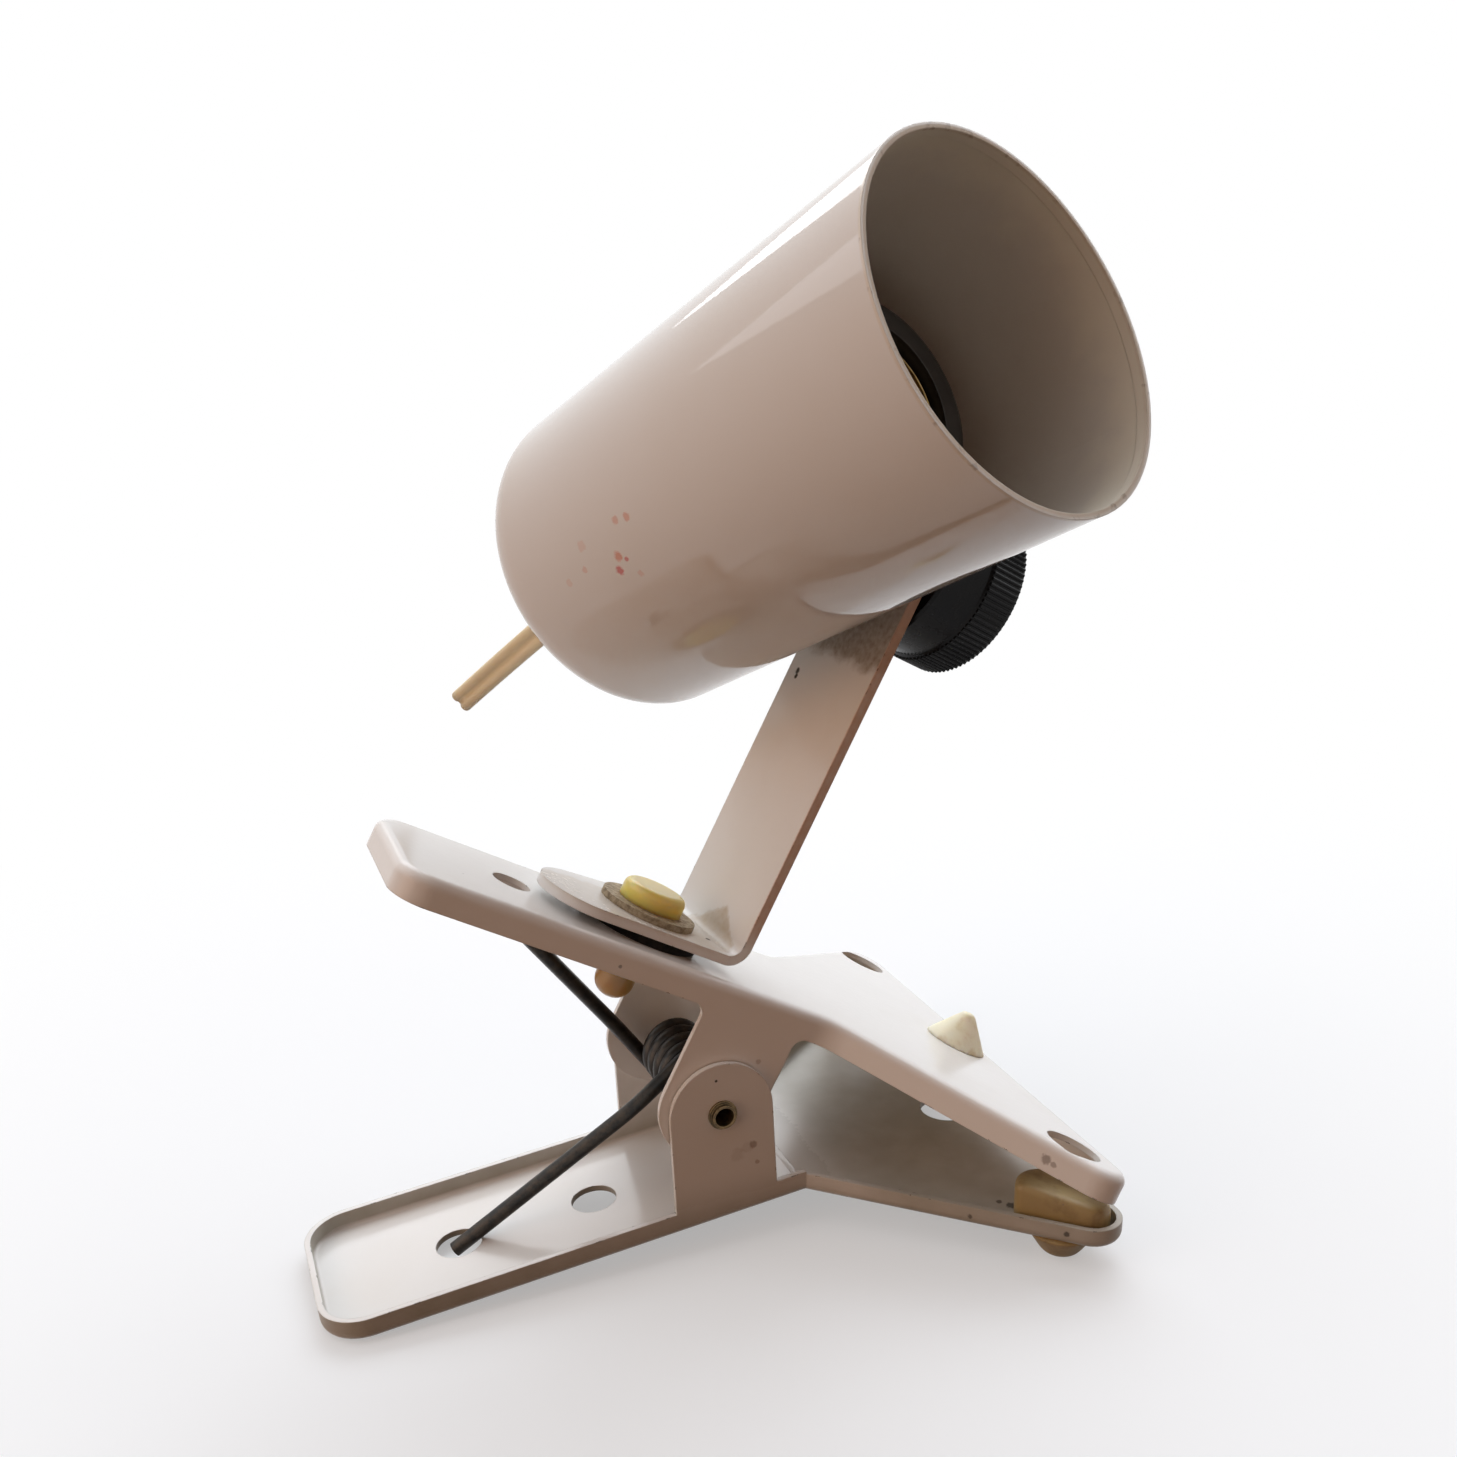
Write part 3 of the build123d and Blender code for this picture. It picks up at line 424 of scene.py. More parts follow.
def make_enamels():
    """Enamel for the jaws and the arm, each with the marks that it shows, painted shade among them; the upper jaw
    and the arm take a lighter copy of the white, as painted light.
    """
    lower_marks = [(pin.at(6, EAR_FACE, -8), 1.0, RUST_BROWN, 0.6),
                   (pin.at(4.6, EAR_FACE, -8.4), 1.5, RUST_BROWN, 0.13),
                   (pin.at(2.6, EAR_FACE, -9.4), 1.7, RUST_BROWN, 0.13),
                   (pin.at(6.6, EAR_FACE, -12), 0.6, RUST_BROWN, 0.4),
                   (pin.at(55, -54, -21.5), 0.8, CHIP_DARK, 0.8),
                   (pin.at(41.5, -41.5, -21), 0.7, CHIP_DARK, 0.7),
                   (pin.at(51.5, -39.5, -22.5), 1.3, CHIP_DARK, 0.8),
                   (pin.at(50, -37.5, -22.5), 0.8, CHIP_DARK, 0.7)]
    upper_marks = [(pin.at(53, -50, -7), 1.2, STAIN_BROWN, 0.6),
                   (pin.at(54, -51, -8), 0.7, STAIN_BROWN, 0.5),
                   (pin.at(8.5, -18, 8.5), 0.7, RUST_BROWN, 0.4),
                   (pin.at(-17.5, -18, 34), 0.5, CHIP_DARK, 0.6)]
    arm_marks = [(arm.at(11.5, -6.5, 3.8), 0.8, CHIP_DARK, 1.0),
                 (arm.at(ARM_FACE, 10.8, 58.5), 0.9, CHIP_DARK, 1.0),
                 (arm.at(ARM_FACE, 10.5, 57.5), 0.7, CHIP_DARK, 1.0)]
    # Arm washes: dust that is partly painted shade, an ochre stain, and a pink near edge that is painted warm
    # shade
    arm_washes = [(arm_dust_and_shade, DUST_AND_SHADE_BROWN), (arm_stain, OCHRE), (arm_edge_shade, EDGE_SHADE_PINK)]
    # The lower jaw's olive wash is grime and painted shade
    paint(enamel("enamel_lower_jaw", ENAMEL_WHITE, lower_marks, [(lower_grime_and_shade, GRIME_AND_SHADE_OLIVE)]), "lower_jaw")
    # The upper jaw and the arm take the lighter copy of the white: painted light
    paint(enamel("enamel_upper_jaw", ENAMEL_PAINTED_LIGHT, upper_marks), "upper_jaw")
    paint(enamel("enamel_arm", ENAMEL_PAINTED_LIGHT, arm_marks, arm_washes), "arm")


make_enamels()

# Shade: its form in millimetres, then its enamel
SHADE_LENGTH = 109.3
SHADE_BACK_RADIUS = 31.65
SHADE_FLARE = 2.35 / SHADE_LENGTH
SHADE_BACK_ROUND = 9.2
SHADE_WALL = 0.9
SHADE_IOR = 1.6
SHADE_CLOUD = (35.0, 3)
SHADE_YELLOW_SHARE = 0.5
SHADE_GRAIN = (0.7, 4)
SHADE_ROUGH = (0.035, 0.04, 12.0, 3)
SHADE_PEEL_DEPTH = 0.025
SHADE_PEEL_STRENGTH = 0.4
# Overspray inside the mouth: its reach in millimetres, and how far and how finely its edge wanders
SPRAY_REACH = (-6.0, 5.0)
SPRAY_WANDER = 16.0
SPRAY_WAVE = (9.0, 3)
INSIDE_PITS = (7.0, 0.12, 0.05)
INSIDE_ROUGH = 0.45
INSIDE_GRAIN_ROUGH = 0.2
LIP_REACH = (-0.8, -0.3)
LIP_GRAIN = (2.5, 4)
LIP_WORN = (0.58, 0.70)
LIP_WORN_SHARE = 0.6
LIP_SHARE = 0.8
LIP_ROUGH = 0.2
INSIDE_GREY = (0.70, 0.675, 0.62, 1)
OVERSPRAY = (0.80, 0.77, 0.67, 1)
LIP_CREAM = (0.72, 0.67, 0.57, 1)
SPECK_ORANGE = (0.70, 0.22, 0.07, 1)
SPECK_RED = (0.62, 0.07, 0.03, 1)
# Orange and red specks: the angle round the shade in degrees, the height, the radius and how strong each is
SHADE_SPECKS = [(-143, 41, 1.0, 0.5), (-142, 44, 1.0, 0.6), (-133, 37.5, 1.2, 0.8), (-135, 28, 0.8, 0.35),
                (-142, 30, 1.3, 0.22), (-125, 40, 0.8, 0.3), (-134, 22.5, 1.0, 0.2)]
RED_SPECKS = [(-131, 39, 0.6, 0.8), (-129, 36, 1.1, 0.9)]


def on_shade(angle, height):
    """The point of the shade's outside at an angle in degrees and a height in millimetres."""
    radius = SHADE_BACK_RADIUS + SHADE_FLARE * height
    return shade.at(radius * cos(radians(angle)), radius * sin(radians(angle)), height)


def shade_finish():
    """Gloss enamel outside, matt grey inside with overspray at the mouth, and a worn lip."""
    finish = Finish("enamel_shade", IOR=SHADE_IOR)
    x, y, height = finish.own(shade)
    radius = finish.math("SQRT", x * x + y * y)
    core = radius - (SHADE_BACK_RADIUS - SHADE_BACK_ROUND) - height * SHADE_FLARE
    core = finish.larger(core, 0.0)
    fall = finish.larger(SHADE_BACK_ROUND - height, 0.0)
    reach = finish.math("SQRT", core * core + fall * fall)
    inside = reach < SHADE_BACK_ROUND - SHADE_WALL / 2
    grain = finish.noise(*SHADE_GRAIN)
    yellowed = finish.fade(finish.noise(*SHADE_CLOUD), *YELLOWED) * SHADE_YELLOW_SHARE
    outer = finish.mix(yellowed, ENAMEL_WHITE, ENAMEL_AGED)
    for specks, tint in ((SHADE_SPECKS, SPECK_ORANGE), (RED_SPECKS, SPECK_RED)):
        for angle, place, size, share in specks:
            outer = finish.mix(finish.spot(on_shade(angle, place), size, grain) * share, outer, tint)
    past_mouth = height - SHADE_LENGTH
    spray = finish.fade(past_mouth + finish.noise(*SPRAY_WAVE) * SPRAY_WANDER, *SPRAY_REACH)
    inner = finish.mix(spray, INSIDE_GREY, OVERSPRAY)
    inner = finish.mix(finish.specks(*INSIDE_PITS), inner, CHIP_DARK)
    lip = finish.fade(past_mouth, *LIP_REACH)
    lip_worn = finish.fade(finish.noise(*LIP_GRAIN), *LIP_WORN) * LIP_WORN_SHARE
    ring = finish.mix(lip_worn, LIP_CREAM, DUST_AND_SHADE_BROWN)
    colour = finish.mix(inside, outer, inner)
    colour = finish.mix(lip * LIP_SHARE, colour, ring)
    rough = finish.mottled(*SHADE_ROUGH) * (1 - inside) + inside * (INSIDE_ROUGH + grain * INSIDE_GRAIN_ROUGH)
    rough = rough + lip * LIP_ROUGH
    peel = finish.noise(*PEEL) * (1 - inside) + grain * inside
    normal = finish.bump(peel, SHADE_PEEL_DEPTH, finish.bevel(EDGE_RADIUS), SHADE_PEEL_STRENGTH)
    finish.surface(Base_Color=colour, Roughness=rough, Normal=normal)
    return finish


paint(shade_finish(), "shade")

# Rubber and nylon
RUBBER_CREAM = (0.95, 0.89, 0.68, 1)
RUBBER_STAINED = (0.62, 0.45, 0.20, 1)
RUBBER_BROWNED = (0.36, 0.26, 0.11, 1)
RUBBER_DARK = (0.16, 0.10, 0.04, 1)
NYLON_PALE = (0.78, 0.64, 0.22, 1)
NYLON_YELLOW = (1.0, 0.72, 0.13, 1)
NYLON_AMBER = (0.85, 0.43, 0.05, 1)
NYLON_DULL = (0.48, 0.31, 0.09, 1)
SOFT_RADIUS = (0.006, 0.0045, 0.0018)
RUBBER_SOFT = 0.35
RUBBER_SOFT_SCALE = 0.5
RUBBER_PATCH = (5.5, 4, 0.6)
RUBBER_AGED = (0.45, 0.75)
RUBBER_AGED_SHARE = 0.7
RUBBER_SPECKS = (3.0, 0.2, 0.08)
RUBBER_GRAIN = (0.6, 4)
RUBBER_GRAIN_DEPTH = 0.05
RUBBER_GRAIN_STRENGTH = 0.6
RUBBER_ROUGH = 0.42
RUBBER_PATCH_ROUGH = 0.25
NYLON_IOR = 1.53
NYLON_STREAK = (4.0, 3)
NYLON_STREAK_RISE = 2.0
NYLON_EDGE = 0.3
NYLON_GRAIN = (1.1, 3)
NYLON_GRAIN_DEPTH = 0.04
NYLON_GRAIN_STRENGTH = 0.5
NYLON_ROUGH = 0.22
NYLON_STREAK_ROUGH = 0.2
# Levels above the arm's foot, in millimetres, between which the nylon's tints go over
NYLON_TOP = (6.6, 8.8)
NYLON_FOOT = (5.8, 4.6)
NYLON_UNDER = (1.0, -2.0)


def rubber_finish(name, light, dark):
    """Old rubber, browned in patches, with a fine moulded grain."""
    finish = Finish(name, Subsurface_Weight=RUBBER_SOFT, Subsurface_Radius=SOFT_RADIUS,
                    Subsurface_Scale=RUBBER_SOFT_SCALE)
    patch = finish.noise(*RUBBER_PATCH)
    colour = finish.mix(finish.fade(patch, *RUBBER_AGED) * RUBBER_AGED_SHARE, light, dark)
    colour = finish.mix(finish.specks(*RUBBER_SPECKS), colour, DUST_AND_SHADE_BROWN)
    normal = finish.bump(finish.noise(*RUBBER_GRAIN), RUBBER_GRAIN_DEPTH, strength=RUBBER_GRAIN_STRENGTH)
    finish.surface(Base_Color=colour, Roughness=RUBBER_ROUGH + patch * RUBBER_PATCH_ROUGH, Normal=normal)
    return finish


def nylon_finish():
    """Clear amber nylon, pale on top and deeper towards its foot."""
    finish = Finish("amber_nylon", Subsurface_Weight=1.0, Subsurface_Radius=SOFT_RADIUS, Subsurface_Scale=1.0,
                    IOR=NYLON_IOR)
    height = finish.own(swivel)[2]
    streak = finish.noise(*NYLON_STREAK)
    level = height + (streak - NOISE_MIDDLE) * NYLON_STREAK_RISE
    colour = finish.mix(finish.fade(level, *NYLON_TOP), NYLON_YELLOW, NYLON_PALE)
    colour = finish.mix(finish.fade(level, *NYLON_FOOT), colour, NYLON_AMBER)
    colour = finish.mix(finish.fade(level, *NYLON_UNDER), colour, NYLON_DULL)
    grain = finish.noise(*NYLON_GRAIN)
    normal = finish.bump(grain, NYLON_GRAIN_DEPTH, finish.bevel(NYLON_EDGE), NYLON_GRAIN_STRENGTH)
    finish.surface(Base_Color=colour, Roughness=NYLON_ROUGH + streak * NYLON_STREAK_ROUGH, Normal=normal)
    return finish


cream_rubber = rubber_finish("cream_rubber", RUBBER_CREAM, RUBBER_STAINED)
brown_rubber = rubber_finish("brown_rubber", RUBBER_BROWNED, RUBBER_DARK)
paint(nylon_finish(), "swivel_stud", "swivel_dome", "cord_bush")

# Plain finishes: patches of two tints with a fine relief, whose grain is a share of the patches
PATCH_DETAIL = (4, 0.6)
PATCH_LEVELS = (0.35, 0.7)
PATCH_ROUGH = 0.25
RELIEF_SHARE = 0.25
RELIEF_DETAIL = 3
RELIEF_STRENGTH = 0.5
PLAIN_EDGE = 0.2
# Rubbed edges: how far they reach in millimetres, between which levels they show, and how strong they are
RUBBED_REACH = 0.4
RUBBED_LEVELS = (0.05, 0.2)
RUBBED_SHARE = 0.7


def plain_finish(name, light, dark, rough, metal=0.0, size=3.0, relief=0.02, edge_light=None, ior=1.5):
    """A finish that goes between two tints in small patches, with its own roughness and relief."""
    finish = Finish(name, Metallic=metal, IOR=ior)
    patch = finish.noise(size, *PATCH_DETAIL)
    colour = finish.mix(finish.fade(patch, *PATCH_LEVELS), light, dark)
    if edge_light:
        rubbed = finish.fade(finish.edge(RUBBED_REACH), *RUBBED_LEVELS) * RUBBED_SHARE
        colour = finish.mix(rubbed, colour, edge_light)
    grain = finish.noise(size * RELIEF_SHARE, RELIEF_DETAIL)
    normal = finish.bump(grain, relief, finish.bevel(PLAIN_EDGE), RELIEF_STRENGTH)
    finish.surface(Base_Color=colour, Roughness=rough + (patch - NOISE_MIDDLE) * PATCH_ROUGH, Normal=normal)
    return finish


black_plastic = plain_finish("black_plastic", (0.004, 0.004, 0.005, 1), (0.008, 0.008, 0.008, 1), rough=0.26,
                             size=4.0, ior=1.22)
black_holder = plain_finish("black_holder", (0.02, 0.02, 0.02, 1), (0.03, 0.028, 0.026, 1), rough=0.35,
                            size=4.0)
black_fibre = plain_finish("black_fibre", (0.007, 0.007, 0.006, 1), (0.02, 0.017, 0.014, 1), rough=0.85,
                           size=1.5, ior=1.2)
spring_steel = plain_finish("spring_steel", (0.018, 0.017, 0.016, 1), (0.045, 0.036, 0.028, 1), rough=0.38,
                            metal=0.6, size=2.0)
zinc_steel = plain_finish("zinc_steel", (0.42, 0.39, 0.34, 1), (0.22, 0.17, 0.12, 1), rough=0.42,
                          metal=0.85, size=2.5, edge_light=(0.62, 0.60, 0.55, 1))
dull_zinc = plain_finish("dull_zinc", (0.40, 0.32, 0.21, 1), (0.18, 0.13, 0.075, 1), rough=0.65,
                         metal=0.15, size=1.0, relief=0.05)
brass = plain_finish("brass", (0.42, 0.27, 0.10, 1), (0.16, 0.10, 0.045, 1), rough=0.36,
                     metal=0.9, size=1.6, edge_light=(0.62, 0.44, 0.19, 1))
dark_brass = plain_finish("dark_brass", (0.17, 0.11, 0.05, 1), (0.05, 0.035, 0.02, 1), rough=0.45,
                          metal=0.7, size=1.6, edge_light=(0.30, 0.21, 0.10, 1))
porcelain = plain_finish("porcelain", (0.76, 0.74, 0.69, 1), (0.66, 0.63, 0.56, 1), rough=0.25, size=6.0)
copper = plain_finish("copper", (0.66, 0.33, 0.18, 1), (0.40, 0.19, 0.10, 1), rough=0.35, metal=1.0, size=0.5)
paint(black_holder, "holder_cap", "holder_sleeve", "holder_ring")
paint(black_fibre, "swivel_spacer", "fibre_washer", "tilt_spacer")
paint(dull_zinc, "swivel_washer")
paint(zinc_steel, "tilt_screw", "tilt_washer", "nipple", "nipple_nut")
paint(dark_brass, "pivot_pin")
paint(brass, "knob_insert", "centre_contact", "terminal_screws")
paint(porcelain, "contact_block")

# Flex cover
PVC_CREAM = (0.95, 0.84, 0.58, 1)
PVC_STAINED = (0.78, 0.60, 0.32, 1)
PVC_SOFT = 0.15
PVC_SOFT_SCALE = 0.3
PVC_PATCH = (7.0, 4, 0.6)
PVC_AGED = (0.5, 0.85)
PVC_AGED_SHARE = 0.35
PVC_SPECKS = (5.0, 0.10, 0.05)
PVC_GRAIN = (0.8, 3)
PVC_GRAIN_DEPTH = 0.03
PVC_ROUGH = 0.38
PVC_PATCH_ROUGH = 0.2


def cord_finish():
    """Cream twin flex, stained in patches, with a few dark specks."""
    finish = Finish("cream_flex", Subsurface_Weight=PVC_SOFT, Subsurface_Radius=SOFT_RADIUS,
                    Subsurface_Scale=PVC_SOFT_SCALE)
    patch = finish.noise(*PVC_PATCH)
    colour = finish.mix(finish.fade(patch, *PVC_AGED) * PVC_AGED_SHARE, PVC_CREAM, PVC_STAINED)
    colour = finish.mix(finish.specks(*PVC_SPECKS), colour, CHIP_DARK)
    normal = finish.bump(finish.noise(*PVC_GRAIN), PVC_GRAIN_DEPTH)
    finish.surface(Base_Color=colour, Roughness=PVC_ROUGH + patch * PVC_PATCH_ROUGH, Normal=normal)
    return finish


flex_pvc = cord_finish()


def link(name, mesh, finish=None):
    """A new piece from a mesh whose place is in its vertices."""
    piece = bpy.data.objects.new(name, mesh)
    bpy.context.scene.collection.objects.link(piece)
    if finish:
        mesh.materials.clear()
        mesh.materials.append(finish.material)
    mesh.polygons.foreach_set("use_smooth", [True] * len(mesh.polygons))
    return piece


def swap(piece, body, slot_name, *cad_nodes):
    """The piece rides on a body and stands for CAD nodes, which it hides; slot_name is not used."""
    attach(piece, body)
    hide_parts(*cad_nodes)


# Flat twin flex: a NURBS line from inside the nipple to the cut end
FLEX_LEAD_IN = 24.0
FLEX_ROLL = radians(21.0)
FLEX_FREE = 64.0
FLEX_DROOP = radians(7.7)
FLEX_BEND_AT = 2.0
FLEX_WIDTH = 5.6
FLEX_THICKNESS = 2.7
FLEX_CORE_RADIUS = 0.55
FLEX_WEB_SHARE = 0.6
FLEX_STEPS = 24
LOBE_STEPS = 18
CORE_STEPS = 16


def spline_points(route, steps):
    """Points of the NURBS line with the route as its control points."""
    curve = bpy.data.curves.new("route", "CURVE")
    curve.dimensions = "3D"
    curve.resolution_u = steps
    spline = curve.splines.new("NURBS")
    spline.points.add(len(route) - 1)
    for point, place in zip(spline.points, route):
        point.co = (*place, 1)
    spline.order_u = 3
    spline.use_endpoint_u = True
    carrier = bpy.data.objects.new("route", curve)
    bpy.context.scene.collection.objects.link(carrier)
    mesh = bpy.data.meshes.new_from_object(carrier)
    points = [vertex.co.copy() for vertex in mesh.vertices]
    bpy.data.objects.remove(carrier)
    bpy.data.curves.remove(curve)
    bpy.data.meshes.remove(mesh)
    return points


def twin_outline():
    """Outline of the flat twin section in millimetres: two lobes joined by a thinner web."""
    lobe = FLEX_THICKNESS / 2
    middle = (FLEX_WIDTH - FLEX_THICKNESS) / 2
    half_turn = pi / 2 + acos(FLEX_WEB_SHARE)
    outline = []
    for side in (1, -1):
        for step in range(LOBE_STEPS + 1):
            turn = (2 * step / LOBE_STEPS - 1) * half_turn
            outline.append((side * (middle + lobe * cos(turn)), side * lobe * sin(turn)))
    return outline


def ring_of(radius, count, across=0.0):
    """Points of a circle in millimetres."""
    turns = (FULL_TURN * step / count for step in range(count))
    return [(across + radius * cos(turn), radius * sin(turn)) for turn in turns]


def swept(line, wide, loops):
    """Sweeps closed section loops along a line and caps the ends; the first loop is the outside."""
    net = bmesh.new()
    rows = []
    for index, point in enumerate(line):
        ahead = line[min(index + 1, len(line) - 1)] - line[max(index - 1, 0)]
        ahead.normalize()
        broad = (Vector(wide) - ahead * ahead.dot(Vector(wide))).normalized()
        thin = ahead.cross(broad)
        rows.append([[net.verts.new(point + (broad * u + thin * v) * MM) for u, v in loop] for loop in loops])
    for before, after in zip(rows, rows[1:]):
        for first, second in zip(before, after):
            for here in range(len(first)):
                there = (here + 1) % len(first)
                net.faces.new((first[here], first[there], second[there], second[here]))
    for row in (rows[0], rows[-1]):
        rims = [net.edges.get((loop[k], loop[(k + 1) % len(loop)])) for loop in row for k in range(len(loop))]
        bmesh.ops.triangle_fill(net, edges=rims, use_beauty=True)
    bmesh.ops.recalc_face_normals(net, faces=net.faces)
    mesh = bpy.data.meshes.new("swept")
    net.to_mesh(mesh)
    net.free()
    return mesh


def make_flex():
    """The flex with its two copper cores, cut off square."""
    start = shade.at(0, 0, FLEX_LEAD_IN)
    exit_point = shade.at(0, 0, -FLEX_BEND_AT)
    sag = (shade.z * shade.z.z - Vector((0, 0, 1))).normalized()
    wide = sag.cross(shade.z) * sin(FLEX_ROLL) - sag * cos(FLEX_ROLL)
    cut_end = exit_point + (sag * sin(FLEX_DROOP) - shade.z * cos(FLEX_DROOP)) * FLEX_FREE * MM
    line = spline_points([start, exit_point, cut_end], FLEX_STEPS)
    middle = (FLEX_WIDTH - FLEX_THICKNESS) / 2
    bores = [ring_of(FLEX_CORE_RADIUS, CORE_STEPS, side * middle) for side in (-1, 1)]
    lead = link("flex_lead", swept(line, wide, [twin_outline(), *bores]), flex_pvc)
    swap(lead, "lamp_head", "cord_pvc", "flex")
    strands = bmesh.new()
    for bore in bores:
        tube = swept(line, wide, [bore])
        strands.from_mesh(tube)
        bpy.data.meshes.remove(tube)
    mesh = bpy.data.meshes.new("flex_strands")
    strands.to_mesh(mesh)
    strands.free()
    ends = link("flex_strands", mesh, copper)
    swap(ends, "lamp_head", "copper", "flex_cores")


make_flex()


def settled_mesh(carrier):
    """The mesh of an object after its modifiers; the object itself goes."""
    bpy.context.scene.collection.objects.link(carrier)
    seen = bpy.context.evaluated_depsgraph_get()
    made = bpy.data.meshes.new_from_object(carrier.evaluated_get(seen))
    made.name = carrier.name
    bpy.data.objects.remove(carrier)
    return made


def grown(name, mesh, tree):
    """The mesh that a geometry tree makes out of another."""
    carrier = bpy.data.objects.new(name, mesh)
    carrier.modifiers.new("grow", "NODES").node_group = tree
    return settled_mesh(carrier)


class Growth(Net):
    """A geometry tree with named inputs, closed by Realize Instances and Set Material."""

    def __init__(self, name, **inputs):
        super().__init__(bpy.data.node_groups.new(name, "GeometryNodeTree"))
        face = self.tree.interface
        face.new_socket("Geometry", in_out="INPUT", socket_type="NodeSocketGeometry")
        kinds = {float: "NodeSocketFloat", int: "NodeSocketInt"}
        for label, value in inputs.items():
            socket = face.new_socket(label, in_out="INPUT", socket_type=kinds[type(value)])
            socket.default_value = value
        face.new_socket("Geometry", in_out="OUTPUT", socket_type="NodeSocketGeometry")
        self.source = self.tree.nodes.new("NodeGroupInput")
        self.inputs = {output.name: Value(self, output) for output in self.source.outputs if output.name}

    def close(self, geometry, finish):
        """Ends the tree."""
        real = self.node("GeometryNodeRealizeInstances", {}, {"Geometry": geometry})
        coated = self.node("GeometryNodeSetMaterial", {}, {"Geometry": real, "Material": finish.material})
        end = self.tree.nodes.new("NodeGroupOutput")
        self.feed(end.inputs[0], coated)
        return self.tree


# Rubber pads: rounded copies of the pads' solids
PAD_VOXEL = 0.35
PAD_PASSES = 36
CONE_PASSES = 6
MERGE = 0.01


def softened(name, solid, passes):
    """A rounded copy of a solid's mesh: merged, remeshed in small cells and smoothed."""
    mesh = solid.data.copy()
    net = bmesh.new()
    net.from_mesh(mesh)
    bmesh.ops.remove_doubles(net, verts=net.verts, dist=MERGE * MM)
    net.to_mesh(mesh)
    net.free()
    carrier = bpy.data.objects.new(name, mesh)
    cells = carrier.modifiers.new("cells", "REMESH")
    cells.mode = "VOXEL"
    cells.voxel_size = PAD_VOXEL * MM
    rounding = carrier.modifiers.new("rounding", "SMOOTH")
    rounding.iterations = passes
    return settled_mesh(carrier)


def make_pads():
    """The cone in the upper fan and the two plugs in the lower one."""
    for node, body, finish, passes in (("upper_pad", "upper_clip", cream_rubber, CONE_PASSES),
                                       ("lower_pad_near", "lower_clip", brown_rubber, PAD_PASSES),
                                       ("lower_pad_far", "lower_clip", brown_rubber, PAD_PASSES)):
        name = node.replace("pad", "rubber")
        swap(link(name, softened(name, nodes[node], passes), finish), body, "pad_rubber", node)


make_pads()

# Torsion spring: a wire swept along the coil and its two legs
WIRE = 3.0
COIL_RADIUS = 5.5
COIL_STEP = 3.5
COIL_FAR_END = 12.5
COIL_TURNS = 5
FAR_HOLE = 52.0
LEG_REACH = 58.0
SHEET = 1.2
SIDE_GAP = 0.3
LEG_STUB = 12.0
LEG_EASE = 5.0
LEG_TIP = 1.2
EASE_STEPS = 10
TURN_STEPS = 32
WIRE_SIDES = 16


def wire_tree():
    """Geometry tree that turns a line of edges into a capped round wire."""
    grow = Growth("round_wire", Radius=WIRE / 2 * MM, Sides=WIRE_SIDES)
    line = grow.node("GeometryNodeMeshToCurve", {}, {"Mesh": grow.inputs["Geometry"]})
    sockets = {"Resolution": grow.inputs["Sides"], "Radius": grow.inputs["Radius"]}
    profile = grow.node("GeometryNodeCurvePrimitiveCircle", {"mode": "RADIUS"}, sockets)
    sockets = {"Curve": line, "Profile Curve": profile, "Fill Caps": True}
    tube = grow.node("GeometryNodeCurveToMesh", {}, sockets)
    return grow.close(tube, spring_steel)


def leg_angle(target, side):
    """Angle about the pin, in radians, at which a straight leg to the target leaves the coil."""
    return atan2(target.z, target.x) % FULL_TURN + side * acos(COIL_RADIUS / hypot(target.x, target.z))


def spring_line():
    """Points of the lower leg, the coil and the upper leg, in millimetres from the pin."""
    lower_hook = (lower.at(-FAR_HOLE, 0, SHEET / 2) - pin.origin) / MM
    upper_tip = (upper.at(-LEG_REACH, 0, -SHEET - SIDE_GAP - WIRE / 2) - pin.origin) / MM
    start = leg_angle(lower_hook, -1)
    sweep = start - leg_angle(upper_tip, 1) + FULL_TURN * COIL_TURNS
    rise = COIL_STEP / FULL_TURN

    def coil(angle):
        place = start - angle
        height = COIL_FAR_END - rise * (sweep - angle)
        return Vector((COIL_RADIUS * cos(place), height, COIL_RADIUS * sin(place)))

    def way(angle):
        place = start - angle
        return Vector((COIL_RADIUS * sin(place), rise, -COIL_RADIUS * cos(place))).normalized()

    def eased(a, knee, b):
        shares = [step / EASE_STEPS for step in range(EASE_STEPS + 1)]
        return [a * (1 - s) ** 2 + knee * 2 * s * (1 - s) + b * s ** 2 for s in shares]

    lower_knee = coil(0) - way(0) * LEG_STUB
    upper_knee = coil(sweep) + way(sweep) * LEG_STUB
    lower_way = (lower_knee - lower_hook).normalized()
    upper_way = (upper_tip - upper_knee).normalized()
    count = int(sweep / FULL_TURN * TURN_STEPS)
    lower_leg = [lower_hook - lower_way * LEG_TIP]
    lower_leg += eased(lower_knee - lower_way * LEG_EASE, lower_knee, lower_knee + way(0) * LEG_EASE)
    turns = [coil(sweep * step / count) for step in range(count + 1)]
    upper_leg = eased(upper_knee - way(sweep) * LEG_EASE, upper_knee, upper_knee + upper_way * LEG_EASE)
    upper_leg.append(upper_tip)
    return lower_leg, turns, upper_leg


# Way across the pin along which the reach of the wire's two legs is measured
BLEND_WAY = Vector((0, 1, 0.3)).normalized()


